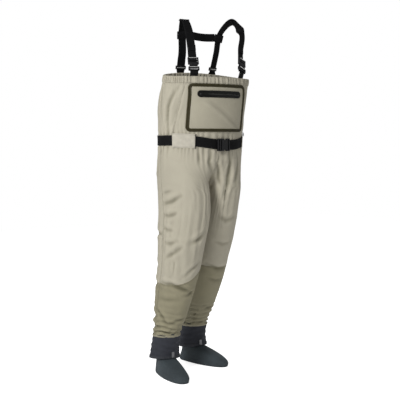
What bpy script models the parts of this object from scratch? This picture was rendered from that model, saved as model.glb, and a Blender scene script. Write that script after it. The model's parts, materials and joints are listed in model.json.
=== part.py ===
"""Chest waders with stocking feet, gravel guards, a wading belt and clip-on suspenders.

The wearer faces -Y, stands on z = 0 and has the right leg on the -X side. Units are metres.
"""

import math

import bmesh
import bpy
import numpy as np
from mathutils import Matrix, Vector

# ---- fabric and seams
CLOTH = 0.0014          # laminated shell fabric
NEOPRENE = 0.004        # stocking foot
SEAM_GAP = 0.0004       # clearance between neighbouring pieces
WEB = 0.0018            # webbing thickness

# ---- torso: half width, half depth and centre y at each height
TORSO_Z = (0.82, 0.87, 0.94, 1.00, 1.055, 1.12, 1.20, 1.27, 1.33, 1.40)
TORSO_A = (0.190, 0.198, 0.207, 0.208, 0.206, 0.210, 0.215, 0.219, 0.217, 0.215)
TORSO_B = (0.140, 0.146, 0.150, 0.144, 0.137, 0.141, 0.144, 0.134, 0.103, 0.085)
TORSO_Y = (0.000, 0.000, 0.000, -0.004, -0.010, -0.012, -0.018, -0.034, -0.056, -0.066)
WAIST_Z = 1.055
RIM_FRONT = 1.3425
RIM_BACK = 1.372
HEM = 0.028
FRONT_SEAM_TOP, FRONT_SEAM_LOW = math.radians(47), math.radians(68)
BACK_SEAM = math.radians(128)

# ---- legs: height, centre x, half width, half depth, centre y of each leg
LEG_Z = (0.02, 0.10, 0.185, 0.30, 0.40, 0.52, 0.65, 0.75, 0.83, 0.98)
LEG_X = (0.126, 0.126, 0.1245, 0.1195, 0.1145, 0.109, 0.108, 0.104, 0.102, 0.103)
LEG_A = (0.054, 0.056, 0.0615, 0.0765, 0.088, 0.097, 0.101, 0.097, 0.093, 0.098)
LEG_B = (0.052, 0.052, 0.060, 0.073, 0.086, 0.100, 0.119, 0.134, 0.143, 0.145)
INNER_FLAT, FLAT_LOW, FLAT_HIGH = 0.42, 0.56, 0.80
RIGHT_Y = (0.110, 0.098, 0.083, 0.052, 0.026, -0.004, -0.022, -0.024, -0.012, 0.0)
LEFT_Y = (0.262, 0.248, 0.231, 0.184, 0.142, 0.096, 0.056, 0.030, 0.012, 0.0)
CROTCH_Z, SPLIT_Z = 0.83, 0.985
KNEE_Z, KNEE_TOP, KNEE_LOW = 0.51, 0.592, 0.428
LEG_END = 0.183
GUARD_LOW, GUARD_TOP = 0.083, 0.186
HIP = (0.0, 0.0, 0.93)

# ---- stocking feet
FOOT_LEN, FOOT_WIDE, HEEL_BACK = 0.290, 0.099, 0.074
TOE_OUT = {-1: math.radians(6), 1: math.radians(17)}
SOLE = 0.0055
ANKLE_Z = 0.095

# ---- pocket, measured as x across the front
POCKET_X, POCKET_LOW, POCKET_TOP, POCKET_R = 0.148, 1.106, 1.312, 0.020
TRIM = 0.013
ZIP_Z, ZIP_R, ZIP_HALF, TAPE_H = 1.268, 0.335, math.radians(19.5), 0.030

# ---- straps and belt
STRAP_W = 0.038
BELT_W, BELT_Z, BELT_SAG = 0.044, 1.048, 0.020
REAR_X, FRONT_X = {-1: 0.078, 1: 0.087}, {-1: 0.1215, 1: 0.1325}
BUCKLE_Z = {-1: 1.368, 1: 1.375}
PIVOT = (0.0, 0.0360, 1.334)


def clear_scene():
    for obj in list(bpy.data.objects):
        bpy.data.objects.remove(obj, do_unlink=True)


def material(name, colour, roughness, metallic=0.0):
    mat = bpy.data.materials.new(name)
    mat.use_nodes = True
    shader = mat.node_tree.nodes["Principled BSDF"]
    shader.inputs["Base Color"].default_value = (*colour, 1.0)
    shader.inputs["Roughness"].default_value = roughness
    shader.inputs["Metallic"].default_value = metallic
    return mat


PALETTE = {
    "light": ((0.50, 0.46, 0.37), 0.85, 0.0),
    "dark": ((0.30, 0.275, 0.19), 0.85, 0.0),
    "neoprene": ((0.040, 0.048, 0.055), 0.90, 0.0),
    "guard": ((0.030, 0.033, 0.042), 0.90, 0.0),
    "webbing": ((0.010, 0.010, 0.010), 0.80, 0.0),
    "trim": ((0.045, 0.036, 0.015), 0.60, 0.0),
    "plastic": ((0.015, 0.015, 0.015), 0.35, 0.0),
    "patch": ((0.55, 0.52, 0.42), 0.80, 0.0),
    "metal": ((0.50, 0.50, 0.50), 0.30, 1.0),
    "elastic": ((0.60, 0.60, 0.58), 0.90, 0.0),
}


def finish_object(obj, look, origin=None):
    """Gives the object its own material, smooth round faces and an origin on its joint."""
    obj.data.materials.append(material(obj.name, *PALETTE[look]))
    if origin is not None:
        place = Vector(origin)
        obj.data.transform(Matrix.Translation(-place))
        obj.location = place
    for face in obj.data.polygons:
        face.use_smooth = True
    obj.data.set_sharp_from_angle(angle=math.radians(35))
    return obj


def mesh_object(name, points, faces):
    mesh = bpy.data.meshes.new(name)
    mesh.from_pydata([tuple(p) for p in points], [], faces)
    work = bmesh.new()
    work.from_mesh(mesh)
    bmesh.ops.recalc_face_normals(work, faces=work.faces)
    work.to_mesh(mesh)
    work.free()
    obj = bpy.data.objects.new(name, mesh)
    bpy.context.scene.collection.objects.link(obj)
    return obj


def sweep(name, sections, look, ring=False, origin=None):
    """Joins closed sections of the same size. Each holds one side out and the other side back."""
    count, size = len(sections), len(sections[0])
    points = [p for section in sections for p in section]
    faces = []
    for i in range(count if ring else count - 1):
        j = (i + 1) % count
        for k in range(size):
            m = (k + 1) % size
            a, b, c, d = i * size + k, i * size + m, j * size + m, j * size + k
            # both sides of a shell are split along matching diagonals
            faces += [(a, b, c), (a, c, d)] if k < size // 2 else [(a, b, d), (b, c, d)]
    if not ring:
        for start in (0, (count - 1) * size):
            for k in range(size // 2 - 1):
                ladder = (k, k + 1, size - 2 - k, size - 1 - k)
                faces.append(tuple(start + v for v in ladder))
    return finish_object(mesh_object(name, points, faces), look, origin)


def at(table, z, keys):
    """Smooth value of a table at height z."""
    z = min(max(z, keys[0]), keys[-1])
    i = min(int(np.searchsorted(keys, z, side="right")) - 1, len(keys) - 2)
    slopes = np.gradient(table, keys)
    h = keys[i + 1] - keys[i]
    t = (z - keys[i]) / h
    rise = table[i] * (1 + 2 * t) * (1 - t) ** 2 + table[i + 1] * t * t * (3 - 2 * t)
    return float(rise + h * t * (1 - t) * (slopes[i] * (1 - t) - slopes[i + 1] * t))


# ---------------------------------------------------------------- torso

def torso_point(phi, z, off=0.0):
    """Point on the torso; phi is 0 at the front centre and grows toward the wearer's left."""
    a, b, cy = (at(t, z, TORSO_Z) for t in (TORSO_A, TORSO_B, TORSO_Y))
    nx, ny = math.sin(phi) / a, -math.cos(phi) / b
    size = math.hypot(nx, ny)
    x, y = a * math.sin(phi), cy - b * math.cos(phi)
    return Vector((x + off * nx / size, y + off * ny / size, z))


def front_point(x, z, off=0.0):
    return torso_point(math.asin(x / at(TORSO_A, z, TORSO_Z)), z, off)


def rim_z(phi):
    return RIM_FRONT + (RIM_BACK - RIM_FRONT) * ((1 - math.cos(phi)) / 2) ** 2.5


def seam_phi(z):
    t = min(max((RIM_FRONT - HEM - z) / (RIM_FRONT - HEM - WAIST_Z), 0), 1)
    return FRONT_SEAM_TOP + (FRONT_SEAM_LOW - FRONT_SEAM_TOP) * t


def bib_column(c, low_phi, high_phi, rows=9):
    """One upright section of a bib panel, from the waist seam to the hem."""
    outer, inner = [], []
    trim = SEAM_GAP / 2 / 0.14
    for r in range(rows):
        t = r / (rows - 1)
        edge = low_phi(RIM_FRONT - HEM) * (1 - c) + high_phi(RIM_FRONT - HEM) * c
        top = rim_z(edge) - HEM - SEAM_GAP
        z = WAIST_Z + SEAM_GAP + (top - WAIST_Z - SEAM_GAP) * t
        phi = (low_phi(z) + trim) * (1 - c) + (high_phi(z) - trim) * c
        outer.append(torso_point(phi, z))
        inner.append(torso_point(phi, z, -CLOTH))
    return outer + inner[::-1]


def bib_panel(name, low_phi, high_phi, columns):
    sections = [
        bib_column(i / (columns - 1), low_phi, high_phi) for i in range(columns)
    ]
    return sweep(name, sections, "light")


def build_bib():
    bib_panel("front_bib_panel", lambda z: -seam_phi(z), seam_phi, 15)
    bib_panel("left_side_bib_panel", seam_phi, lambda z: BACK_SEAM, 8)
    bib_panel(
        "back_bib_panel", lambda z: BACK_SEAM, lambda z: 2 * math.pi - BACK_SEAM, 13
    )
    bib_panel(
        "right_side_bib_panel",
        lambda z: 2 * math.pi - BACK_SEAM,
        lambda z: 2 * math.pi - seam_phi(z),
        8,
    )


def rim_point(phi, t, off):
    """Point of the hem band, straight from its low edge (t = 0) to the rim (t = 1)."""
    top = rim_z(phi)
    return torso_point(phi, top - HEM, off).lerp(torso_point(phi, top, off), t)


def hem_section(phi):
    """Folded hem: two walls joined at the top, open below."""
    path = [(0, 0.0016), (1, 0.0016), (1, -0.0036), (0, -0.0036)]
    back = [(0, -0.0024), (0.965, -0.0024), (0.965, 0.0004), (0, 0.0004)]
    return [rim_point(phi, t, off) for t, off in path + back]


def elastic_section(phi):
    path = [(0.10, -0.0004), (0.93, -0.0004), (0.93, -0.0016), (0.10, -0.0016)]
    return [rim_point(phi, t, off) for t, off in path]


def build_hem(count=44):
    turns = [2 * math.pi * i / count for i in range(count)]
    sweep("chest_hem", [hem_section(p) for p in turns], "light", ring=True)
    sweep("chest_elastic", [elastic_section(p) for p in turns], "elastic", ring=True)


# ---------------------------------------------------------------- legs

def leg_outline(side, s, z):
    """Point of a leg at height z. s runs from the inner front round the outside to the back."""
    a, b, cy = (at(t, z, TORSO_Z) for t in (TORSO_A, TORSO_B, TORSO_Y))
    hip = (a * math.sin(math.pi * s), cy - b * math.cos(math.pi * s))
    centre, wide, deep = (at(t, z, LEG_Z) for t in (LEG_X, LEG_A, LEG_B))
    middle = at(RIGHT_Y if side < 0 else LEFT_Y, z, LEG_Z)
    turn = 2 * math.pi * s
    c, d = math.cos(turn), math.sin(turn)
    if c > 0:
        t = min(max((z - FLAT_LOW) / (FLAT_HIGH - FLAT_LOW), 0), 1)
        power = 1 - INNER_FLAT * t * t * (3 - 2 * t)
        c, d = c ** power, math.copysign(abs(d) ** power, d)
    leg = (centre - wide * c, middle - deep * d)
    t = min(max((SPLIT_Z - z) / (SPLIT_Z - CROTCH_Z), 0), 1)
    w = t * t * (3 - 2 * t)
    return side * (hip[0] * (1 - w) + leg[0] * w), hip[1] * (1 - w) + leg[1] * w


def leg_point(side, s, z, off=0.0):
    x, y = leg_outline(side, s, z)
    x0, y0 = leg_outline(side, s - 0.004, z)
    x1, y1 = leg_outline(side, s + 0.004, z)
    dx, dy = x1 - x0, y1 - y0
    size = math.hypot(dx, dy)
    nx, ny = -side * dy / size * -1, side * dx / size * -1
    return Vector((x + off * nx, y + off * ny, z))


def leg_column(side, s, low, high, rows, flare=(0.0, 0.0), wall=CLOTH):
    outer, inner = [], []
    for r in range(rows):
        t = r / (rows - 1)
        z = low + (high - low) * t
        off = flare[0] + (flare[1] - flare[0]) * t
        outer.append(leg_point(side, s, z, off))
        inner.append(leg_point(side, s, z, off - wall))
    return outer + inner[::-1]


def leg_panel(name, side, ends, low, high, columns, rows, look="light", origin=None):
    s0, s1 = ends[0] + 0.0008, ends[1] - 0.0008
    sections = [
        leg_column(side, s0 + (s1 - s0) * i / (columns - 1), low, high, rows)
        for i in range(columns)
    ]
    return sweep(name, sections, look, origin=origin)


def leg_tube(name, side, low, high, rows, look, count=20, origin=None, **shape):
    sections = [
        leg_column(side, i / count, low, high, rows, **shape) for i in range(count)
    ]
    return sweep(name, sections, look, ring=True, origin=origin)


def leg_centre(side, z):
    y = at(RIGHT_Y if side < 0 else LEFT_Y, z, LEG_Z)
    return Vector((side * at(LEG_X, z, LEG_Z), y, z))


def build_leg(side, name):
    hip = (side * 0.105, HIP[1], HIP[2])
    knee, ankle = leg_centre(side, KNEE_Z), leg_centre(side, ANKLE_Z)
    for half, ends in (("front", (0, 0.5)), ("back", (0.5, 1))):
        leg_panel(
            f"{name}_{half}_hip_panel", side, ends, CROTCH_Z + SEAM_GAP,
            WAIST_Z - SEAM_GAP / 2, 12, 8,
        )
        leg_panel(
            f"{name}_{half}_thigh_panel", side, ends, KNEE_TOP, CROTCH_Z,
            10, 7, origin=hip,
        )
    leg_tube(
        f"{name}_knee_panel", side, KNEE_LOW + SEAM_GAP, KNEE_TOP - SEAM_GAP, 5,
        "dark", origin=knee,
    )
    leg_tube(f"{name}_lower_leg", side, LEG_END, KNEE_LOW, 8, "dark", origin=knee)
    leg_tube(
        f"{name}_gravel_guard", side, GUARD_LOW, GUARD_TOP + 0.022, 4, "guard",
        origin=knee, flare=(0.0145, 0.0032), wall=0.0025,
    )
    build_foot(side, name, ankle)


# ---------------------------------------------------------------- feet

def foot_outline(turn, length, width, heel):
    """Foot shape seen from above, heel at +y and toe at -y, before it is turned out."""
    y, round_off = math.cos(turn), math.sin(turn)
    taper = 0.90 - 0.10 * y - 0.12 * max(y, 0) ** 2
    x = width * taper * math.copysign(abs(round_off) ** 0.80, round_off)
    return x, heel - length / 2 + y * length / 2


def foot_point(side, ankle, turn, level, off=0.0):
    """Level 0 is the sole edge and level 1 the ankle opening."""
    z = SOLE + SEAM_GAP + level * (ANKLE_Z - 0.010 - SOLE)
    grow = math.sin(min(level / 0.35, 1) * math.pi / 2)
    close = max(level - 0.12, 0) / 0.88
    toe = close ** 1.25
    length = FOOT_LEN * (0.985 + 0.015 * grow) * (1 - toe) + 0.098 * toe
    width = FOOT_WIDE / 2 * (0.96 + 0.06 * grow) * (1 - close) + 0.044 * close
    heel = HEEL_BACK * (1 - close) + 0.050 * close
    x, y = foot_outline(turn, length - 2 * off, width, heel - off)
    size = math.hypot(x, y) or 1
    x -= off * x / size
    turned = side * TOE_OUT[side]
    c, s = math.cos(turned), math.sin(turned)
    return Vector((ankle.x + x * c - y * s, ankle.y + x * s + y * c, z))


def build_foot(side, name, ankle, count=26):
    levels = (0.0, 0.10, 0.26, 0.44, 0.62, 0.80, 1.0)
    sections = []
    for i in range(count):
        turn = 2 * math.pi * i / count
        outer = [foot_point(side, ankle, turn, v) for v in levels]
        inner = [foot_point(side, ankle, turn, v, NEOPRENE) for v in levels]
        sections.append(outer + inner[::-1])
    sweep(f"{name}_stocking_foot", sections, "neoprene", ring=True, origin=ankle)
    build_sole(side, name, ankle, count)
    leg_tube(
        f"{name}_foot_ankle", side, ANKLE_Z - 0.0085, LEG_END + 0.018, 4, "neoprene",
        origin=ankle, flare=(-0.0045, -0.0027), wall=0.0030,
    )


def build_sole(side, name, ankle, count):
    """Solid foot bottom, level with the floor."""
    points, faces = [], []
    for z, off in ((0.0, 0.004), (SOLE, 0.0)):
        for i in range(count):
            p = foot_point(side, ankle, 2 * math.pi * i / count, 0.0, off)
            points.append((p.x, p.y, z))
    for i in range(count):
        j = (i + 1) % count
        faces.append((i, j, count + j, count + i))
    faces.append(tuple(range(count)))
    faces.append(tuple(range(count, 2 * count)))
    obj = mesh_object(f"{name}_foot_sole", points, faces)
    finish_object(obj, "neoprene", ankle)


# ---------------------------------------------------------------- hardware

def frame_at(place, up, across):
    """Local frame with z along the webbing, x across it and y through it."""
    z = Vector(up).normalized()
    x = (Vector(across) - z * z.dot(Vector(across))).normalized()
    y = z.cross(x)
    turn = Matrix((x, y, z)).transposed().to_4x4()
    return Matrix.Translation(Vector(place)) @ turn


def block(name, low, high, frame):
    corners = [
        frame @ Vector((x, y, z))
        for z in (low[2], high[2]) for y in (low[1], high[1]) for x in (low[0], high[0])
    ]
    faces = [(0, 1, 3, 2), (4, 5, 7, 6), (0, 1, 5, 4), (2, 3, 7, 6), (0, 2, 6, 4), (1, 3, 7, 5)]
    return mesh_object(name, corners, faces)


def combine(obj, low, high, frame, operation):
    tool = block(f"{obj.name}_tool_{len(obj.modifiers)}", low, high, frame)
    tool.hide_render = True
    tool.display_type = "WIRE"
    modifier = obj.modifiers.new(operation.title(), "BOOLEAN")
    modifier.operation, modifier.object, modifier.solver = operation, tool, "EXACT"


def apply_modifiers(obj):
    """Replaces the mesh by its evaluated form and removes the tools."""
    graph = bpy.context.evaluated_depsgraph_get()
    done = bpy.data.meshes.new_from_object(obj.evaluated_get(graph))
    tools = [m.object for m in obj.modifiers if m.type == "BOOLEAN"]
    obj.modifiers.clear()
    obj.data = done
    for tool in tools:
        bpy.data.objects.remove(tool, do_unlink=True)
    return obj


def female_buckle(name, frame, width, length, deep, origin):
    """Body of a side-release buckle, open at the top, with a bar for webbing below."""
    half, thick = width / 2, deep / 2
    obj = block(name, (-half, -thick, 0), (half, thick, length), frame)
    combine(obj, (-half + 0.003, -thick + 0.0018, 0.0135), (half - 0.003, thick - 0.0018, length + 0.01), frame, "DIFFERENCE")
    combine(obj, (-half + 0.004, -thick - 0.01, 0.004), (half - 0.004, thick + 0.01, 0.010), frame, "DIFFERENCE")
    for side in (-1, 1):
        low, high = sorted((side * (half - 0.006), side * (half + 0.01)))
        combine(obj, (low, -thick - 0.01, 0.0165), (high, thick + 0.01, 0.0285), frame, "DIFFERENCE")
    return finish_object(apply_modifiers(obj), "plastic", origin)


def male_buckle(name, frame, width, start, deep, origin):
    """Prong half of a side-release buckle with two webbing bars above."""
    half, thick = width / 2, deep / 2
    obj = block(name, (-half, -thick, start), (half, thick, start + 0.026), frame)
    for low in (0.005, 0.0155):
        combine(obj, (-half + 0.004, -thick - 0.01, start + low), (half - 0.004, thick + 0.01, start + low + 0.0055), frame, "DIFFERENCE")
    prong = thick - 0.0028
    for side in (-1, 1):
        low, high = sorted((side * (half - 0.0135), side * (half - 0.0085)))
        combine(obj, (low, -prong, start - 0.016), (high, prong, start + 0.002), frame, "UNION")
    combine(obj, (-0.003, -prong, start - 0.017), (0.003, prong, start + 0.002), frame, "UNION")
    return finish_object(apply_modifiers(obj), "plastic", origin)


def ladder_slider(name, frame, width, height, deep, origin, look="plastic", gap=0.0016):
    """Flat frame with one opening that the webbing runs through."""
    half, thick = width / 2, deep / 2
    obj = block(name, (-half, -thick, -height / 2), (half, thick, height / 2), frame)
    combine(obj, (-half + 0.003, -gap, -height), (half - 0.003, gap, height), frame, "DIFFERENCE")
    return finish_object(apply_modifiers(obj), look, origin)


# ---------------------------------------------------------------- straps

def smooth_path(knots, count):
    """Catmull-Rom curve through the knots."""
    pts = [Vector(k) for k in knots]
    pts = [2 * pts[0] - pts[1]] + pts + [2 * pts[-1] - pts[-2]]
    spans, path = len(pts) - 3, []
    for i in range(count):
        t = i / (count - 1) * spans
        k = min(int(t), spans - 1)
        u = t - k
        p0, p1, p2, p3 = pts[k:k + 4]
        path.append(
            0.5 * (2 * p1 + (p2 - p0) * u + (2 * p0 - 5 * p1 + 4 * p2 - p3) * u * u
                   + (3 * p1 - p0 - 3 * p2 + p3) * u ** 3)
        )
    return path


def web_strip(name, path, width, look, across=(1, 0, 0), thick=WEB, origin=None):
    sections = []
    for i, p in enumerate(path):
        along = (path[min(i + 1, len(path) - 1)] - path[max(i - 1, 0)]).normalized()
        side = Vector(across(i / (len(path) - 1)) if callable(across) else across)
        side = (side - along * side.dot(along)).normalized()
        out = along.cross(side)
        w, h = side * width / 2, out * thick / 2
        sections.append([p - w + h, p + w + h, p + w - h, p - w - h])
    return sweep(name, sections, look, origin=origin)


def rear_phi(side):
    return math.pi - side * math.asin(REAR_X[side] / 0.216)


def front_phi(side):
    return side * math.asin(FRONT_X[side] / 0.217)


def tangent(phi, z):
    return (torso_point(phi + 0.01, z) - torso_point(phi - 0.01, z)).normalized()


LOOPS = {
    -1: ((-0.0815, 0.0285, 1.385), (-0.0850, 0.0160, 1.425), (-0.0890, 0.0027, 1.465),
         (-0.104, -0.020, 1.545), (-0.1225, -0.066, 1.590), (-0.1175, -0.092, 1.545)),
    1: ((0.0890, 0.0260, 1.385), (0.0915, 0.0140, 1.425), (0.0940, 0.0027, 1.465),
        (0.100, -0.018, 1.548), (0.136, -0.062, 1.600), (0.170, -0.088, 1.545)),
}
BUCKLE_UP = {-1: Vector((0.12, 0.345, 0.93)), 1: Vector((0.26, 0.345, 0.90))}


def buckle_frame(side):
    """Frame of the front buckle; its base is the webbing bar of the lower half."""
    up = BUCKLE_UP[side].normalized()
    across = Vector((0.93, 0.36 * side, 0.0))
    base = Vector((side * FRONT_X[side], -0.1405, BUCKLE_Z[side]))
    return frame_at(base, up, across)


def strap_path(side, count):
    """Centre line from the rear anchor over the shoulder to the front buckle."""
    frame = buckle_frame(side)
    knots = [torso_point(rear_phi(side), 1.3445, 0.0054)]
    knots += list(LOOPS[side])
    knots += [frame @ Vector((0, 0.0080, z)) for z in (0.112, 0.075, 0.038)]
    return smooth_path(knots, count)


def strap_across(side):
    """Direction across the strap, from the rear rim over the shoulder to the buckle."""
    rear = -tangent(rear_phi(side), 1.35)
    front = buckle_frame(side).to_3x3() @ Vector((1, 0, 0))
    twisted = Vector((0.97, 0.24 * side, 0.0))

    def across(t):
        if t < 0.45:
            turn = min(max((t - 0.066) / 0.032, 0), 1)
            return rear.lerp(twisted, turn).lerp(Vector((1, 0, 0)), max(t - 0.16, 0) / 0.29)
        return Vector((1, 0, 0)).lerp(front, (t - 0.45) / 0.55)

    return across


def build_strap(side, name):
    frame = buckle_frame(side)
    web_strip(
        f"{name}_shoulder_strap", strap_path(side, 61), STRAP_W, "webbing",
        strap_across(side), origin=PIVOT,
    )
    slide = frame @ Vector((0, 0, 0.047))
    female_buckle(
        f"{name}_front_buckle_socket", frame, 0.047, 0.034, 0.0110, frame.translation
    )
    male_buckle(f"{name}_front_buckle_clip", frame, 0.047, 0.0345, 0.0090, slide)
    front_tab(side, name, frame)
    rear_tab(side, name)
    place = strand_frame(side, 1.392)
    ladder_slider(f"{name}_rear_slider", place, 0.047, 0.016, 0.0078, place.translation)


def front_tab(side, name, frame, columns=5):
    """Webbing sewn inside the front of the hem and rising to the buckle's lower bar."""
    sections = []
    width = STRAP_W * 0.96
    for i in range(columns):
        c = i / (columns - 1) - 0.5
        phi = front_phi(side) + c * width / 0.182
        low = [rim_point(phi, t, -0.0045 - WEB) for t in (0.06, 0.5, 0.97)]
        high = [rim_point(phi, t, -0.0045) for t in (0.06, 0.5, 0.97)]
        for z in (-0.009, -0.0008):
            low.append(frame @ Vector((c * width, WEB / 2, z)))
            high.append(frame @ Vector((c * width, -WEB / 2, z)))
        sections.append(low + high[::-1])
    sweep(f"{name}_front_strap_tab", sections, "webbing")


def rear_tab(side, name, columns=5):
    """Webbing patch sewn to the back below the rear end of the strap."""
    sections = []
    for i in range(columns):
        phi = rear_phi(side) + (i / (columns - 1) - 0.5) * STRAP_W / 0.205
        zs = (1.292, 1.308, 1.324, 1.3425)
        low = [torso_point(phi, z, 0.0026) for z in zs]
        high = [torso_point(phi, z, 0.0026 + WEB) for z in zs]
        sections.append(low + high[::-1])
    sweep(f"{name}_rear_strap_tab", sections, "webbing")


def strand_frame(side, z):
    """Frame on the rear strand of a strap at height z."""
    path = strap_path(side, 121)
    near = min(range(2, 60), key=lambda i: abs(path[i].z - z))
    across = strap_across(side)(near / 120)
    return frame_at(path[near], path[near + 1] - path[near - 1], across)


def build_yoke():
    """Short strap that holds the two rear strands together, sewn into a sleeve at each end."""
    ends = {}
    for side, name in ((-1, "right"), (1, "left")):
        ends[side] = strand_frame(side, 1.531)
        ladder_slider(
            f"{name}_yoke_sleeve", ends[side], 0.049, 0.032, 0.0094, Vector(PIVOT),
            "webbing", gap=0.0035,
        )
    a, b = (ends[s] @ Vector((-s * 0.0310, 0, 0)) for s in (-1, 1))
    sag = Vector((0, 0, -0.006))
    path = [a.lerp(b, t / 8) + sag * math.sin(math.pi * t / 8) for t in range(9)]
    web_strip("cross_strap", path, STRAP_W * 0.9, "webbing", (0, 0, 1), origin=PIVOT)


# ---------------------------------------------------------------- belt

def belt_rise(phi):
    """The belt sags at the front, where its buckle is."""
    away = (phi - math.radians(15) + math.pi) % (2 * math.pi) - math.pi
    return BELT_SAG * (1 - math.exp(-(away / math.radians(38)) ** 2))


def belt_strip(name, ends, low, high, offs, look, columns):
    """Strip around the waist between two angles, from offset offs[0] to offs[1]."""
    sections = []
    for i in range(columns):
        phi = ends[0] + (ends[1] - ends[0]) * i / (columns - 1)
        rise = belt_rise(phi)
        inner = [torso_point(phi, z + rise, offs[0]) for z in (low, high)]
        outer = [torso_point(phi, z + rise, offs[1]) for z in (high, low)]
        sections.append(inner + outer)
    return sweep(name, sections, look)


def belt_loop(name, phi, half, look="patch"):
    """Fabric loop over the belt, sewn to the garment above and below it."""
    low, high = BELT_Z - BELT_W / 2 - 0.009, BELT_Z + BELT_W / 2 + 0.009
    sections = []
    for i in range(5):
        p = phi - half + 2 * half * i / 4
        path = [(low, 0.0006), (low + 0.005, 0.0030), (low + 0.007, 0.0042), (high - 0.007, 0.0042), (high - 0.005, 0.0030), (high, 0.0006)]
        rise = belt_rise(p)
        outer = [torso_point(p, z + rise, off + 0.0014) for z, off in path]
        inner = [torso_point(p, z + rise, off) for z, off in path]
        sections.append(outer + inner[::-1])
    return sweep(name, sections, look)


def build_belt():
    low, high = BELT_Z - BELT_W / 2, BELT_Z + BELT_W / 2
    start, stop = math.radians(12), math.radians(360 - 1)
    belt_strip("belt_webbing", (start, stop), low, high, (0.0014, 0.0034), "webbing", 50)
    belt_loop("belt_patch", math.radians(-48), math.radians(16.5))
    belt_loop("left_belt_loop", math.radians(54), math.radians(2.6))
    belt_loop("back_left_belt_loop", math.radians(140), math.radians(2.6))
    belt_loop("back_right_belt_loop", math.radians(-140), math.radians(2.6))
    place = torso_point(math.radians(6), BELT_Z + belt_rise(math.radians(6)), 0.0108)
    frame = frame_at(place, (-1, -0.02, 0), (0, 0, 1))
    shift = frame @ Matrix.Translation((0, 0, -0.030))
    female_buckle("belt_buckle_socket", shift, 0.055, 0.036, 0.0120, shift.translation)
    clip = shift @ Vector((0, 0, 0.05))
    male_buckle("belt_buckle_clip", shift, 0.055, 0.0365, 0.0100, clip)
    build_belt_ring()


def build_belt_ring():
    """Tab sewn above the belt with a free-hanging D ring."""
    phi = math.radians(66)
    low, high = BELT_Z + BELT_W / 2 + 0.0015, BELT_Z + BELT_W / 2 + 0.0210
    belt_strip(
        "ring_tab", (phi - 0.045, phi + 0.045), low, high, (0.0006, 0.0020), "webbing", 3
    )
    high += belt_rise(phi)
    top = torso_point(phi, high - 0.006, 0.0052)
    out = (torso_point(phi, high, 0.01) - torso_point(phi, high, 0.0)).normalized()
    across = Vector((0, 0, 1)).cross(out).normalized()
    ring_loop("accessory_ring", top, across, Vector((0, 0, -1)), out)


def ring_loop(name, top, across, down, out, radius=0.0095, wire=0.0011):
    """D-shaped wire ring; its straight side is at the top, on the hinge line."""
    outline = [(-0.0085, 0.0), (0.0085, 0.0)]
    outline += [
        (radius * math.cos(a), -0.004 - radius * math.sin(a))
        for a in np.linspace(0.15, math.pi - 0.15, 9)
    ]
    centre = [top + across * x - down * y for x, y in outline]
    sections = []
    for i, p in enumerate(centre):
        along = (centre[(i + 1) % len(centre)] - centre[i - 1]).normalized()
        side = along.cross(out)
        turns = [math.pi / 4 + math.pi / 3 * k for k in range(6)]
        sections.append([p + (side * math.cos(t) + out * math.sin(t)) * wire for t in turns])
    return sweep(name, sections, "metal", ring=True, origin=top)


# ---------------------------------------------------------------- pocket

def pocket_panel():
    sections = []
    for i in range(15):
        x = -POCKET_X + 0.004 + (2 * POCKET_X - 0.008) * i / 14
        drop = max(abs(x) - POCKET_X + POCKET_R, 0) / POCKET_R
        inset = POCKET_R * (1 - math.sqrt(max(1 - drop * drop, 0.0)))
        rows = np.linspace(POCKET_LOW + 0.004 + inset, POCKET_TOP - 0.004 - inset, 8)
        outer = [front_point(x, z, 0.0028) for z in rows]
        inner = [front_point(x, z, 0.0014) for z in rows]
        sections.append(outer + inner[::-1])
    sweep("pocket_panel", sections, "light")


def corner_path(inset, count=6):
    """Rounded rectangle of the pocket edge, moved inward by inset."""
    wide, low, high = POCKET_X - inset, POCKET_LOW + inset, POCKET_TOP - inset
    radius, path = POCKET_R - inset, []
    radius = max(radius, 0.007)
    for cx, cz, start in (
        (wide - radius, high - radius, 0), (-wide + radius, high - radius, 90),
        (-wide + radius, low + radius, 180), (wide - radius, low + radius, 270),
    ):
        path += [
            (cx + radius * math.cos(math.radians(start + 90 * k / count)),
             cz + radius * math.sin(math.radians(start + 90 * k / count)))
            for k in range(count + 1)
        ]
    return path


def pocket_frame():
    outer_path, inner_path = corner_path(0.0), corner_path(TRIM)
    pairs = []
    for i in range(len(outer_path)):
        j = (i + 1) % len(outer_path)
        steps = max(int(math.dist(outer_path[i], outer_path[j]) / 0.022), 1)
        for k in range(steps):
            t = k / steps
            pairs.append(tuple(
                (p[i][0] + (p[j][0] - p[i][0]) * t, p[i][1] + (p[j][1] - p[i][1]) * t)
                for p in (outer_path, inner_path)
            ))
    sections = []
    for (x0, z0), (x1, z1) in pairs:
        sections.append([
            front_point(x0, z0, 0.0035), front_point(x1, z1, 0.0035),
            front_point(x1, z1, 0.0049), front_point(x0, z0, 0.0049),
        ])
    sweep("pocket_trim", sections, "trim", ring=True)


def zip_point(angle, z, off):
    """Point on the zipper's arc; the arc's centre line is the slider's hinge line."""
    radius = ZIP_R + off
    return Vector((radius * math.sin(angle), zip_centre() - radius * math.cos(angle), z))


def zip_centre():
    return torso_point(0, ZIP_Z, 0.0).y + ZIP_R


def zip_strip(name, low, high, offs, look, half, columns=21):
    sections = []
    for i in range(columns):
        angle = -half + 2 * half * i / (columns - 1)
        sections.append([
            zip_point(angle, low, offs[0]), zip_point(angle, high, offs[0]),
            zip_point(angle, high, offs[1]), zip_point(angle, low, offs[1]),
        ])
    sweep(name, sections, look)


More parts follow.
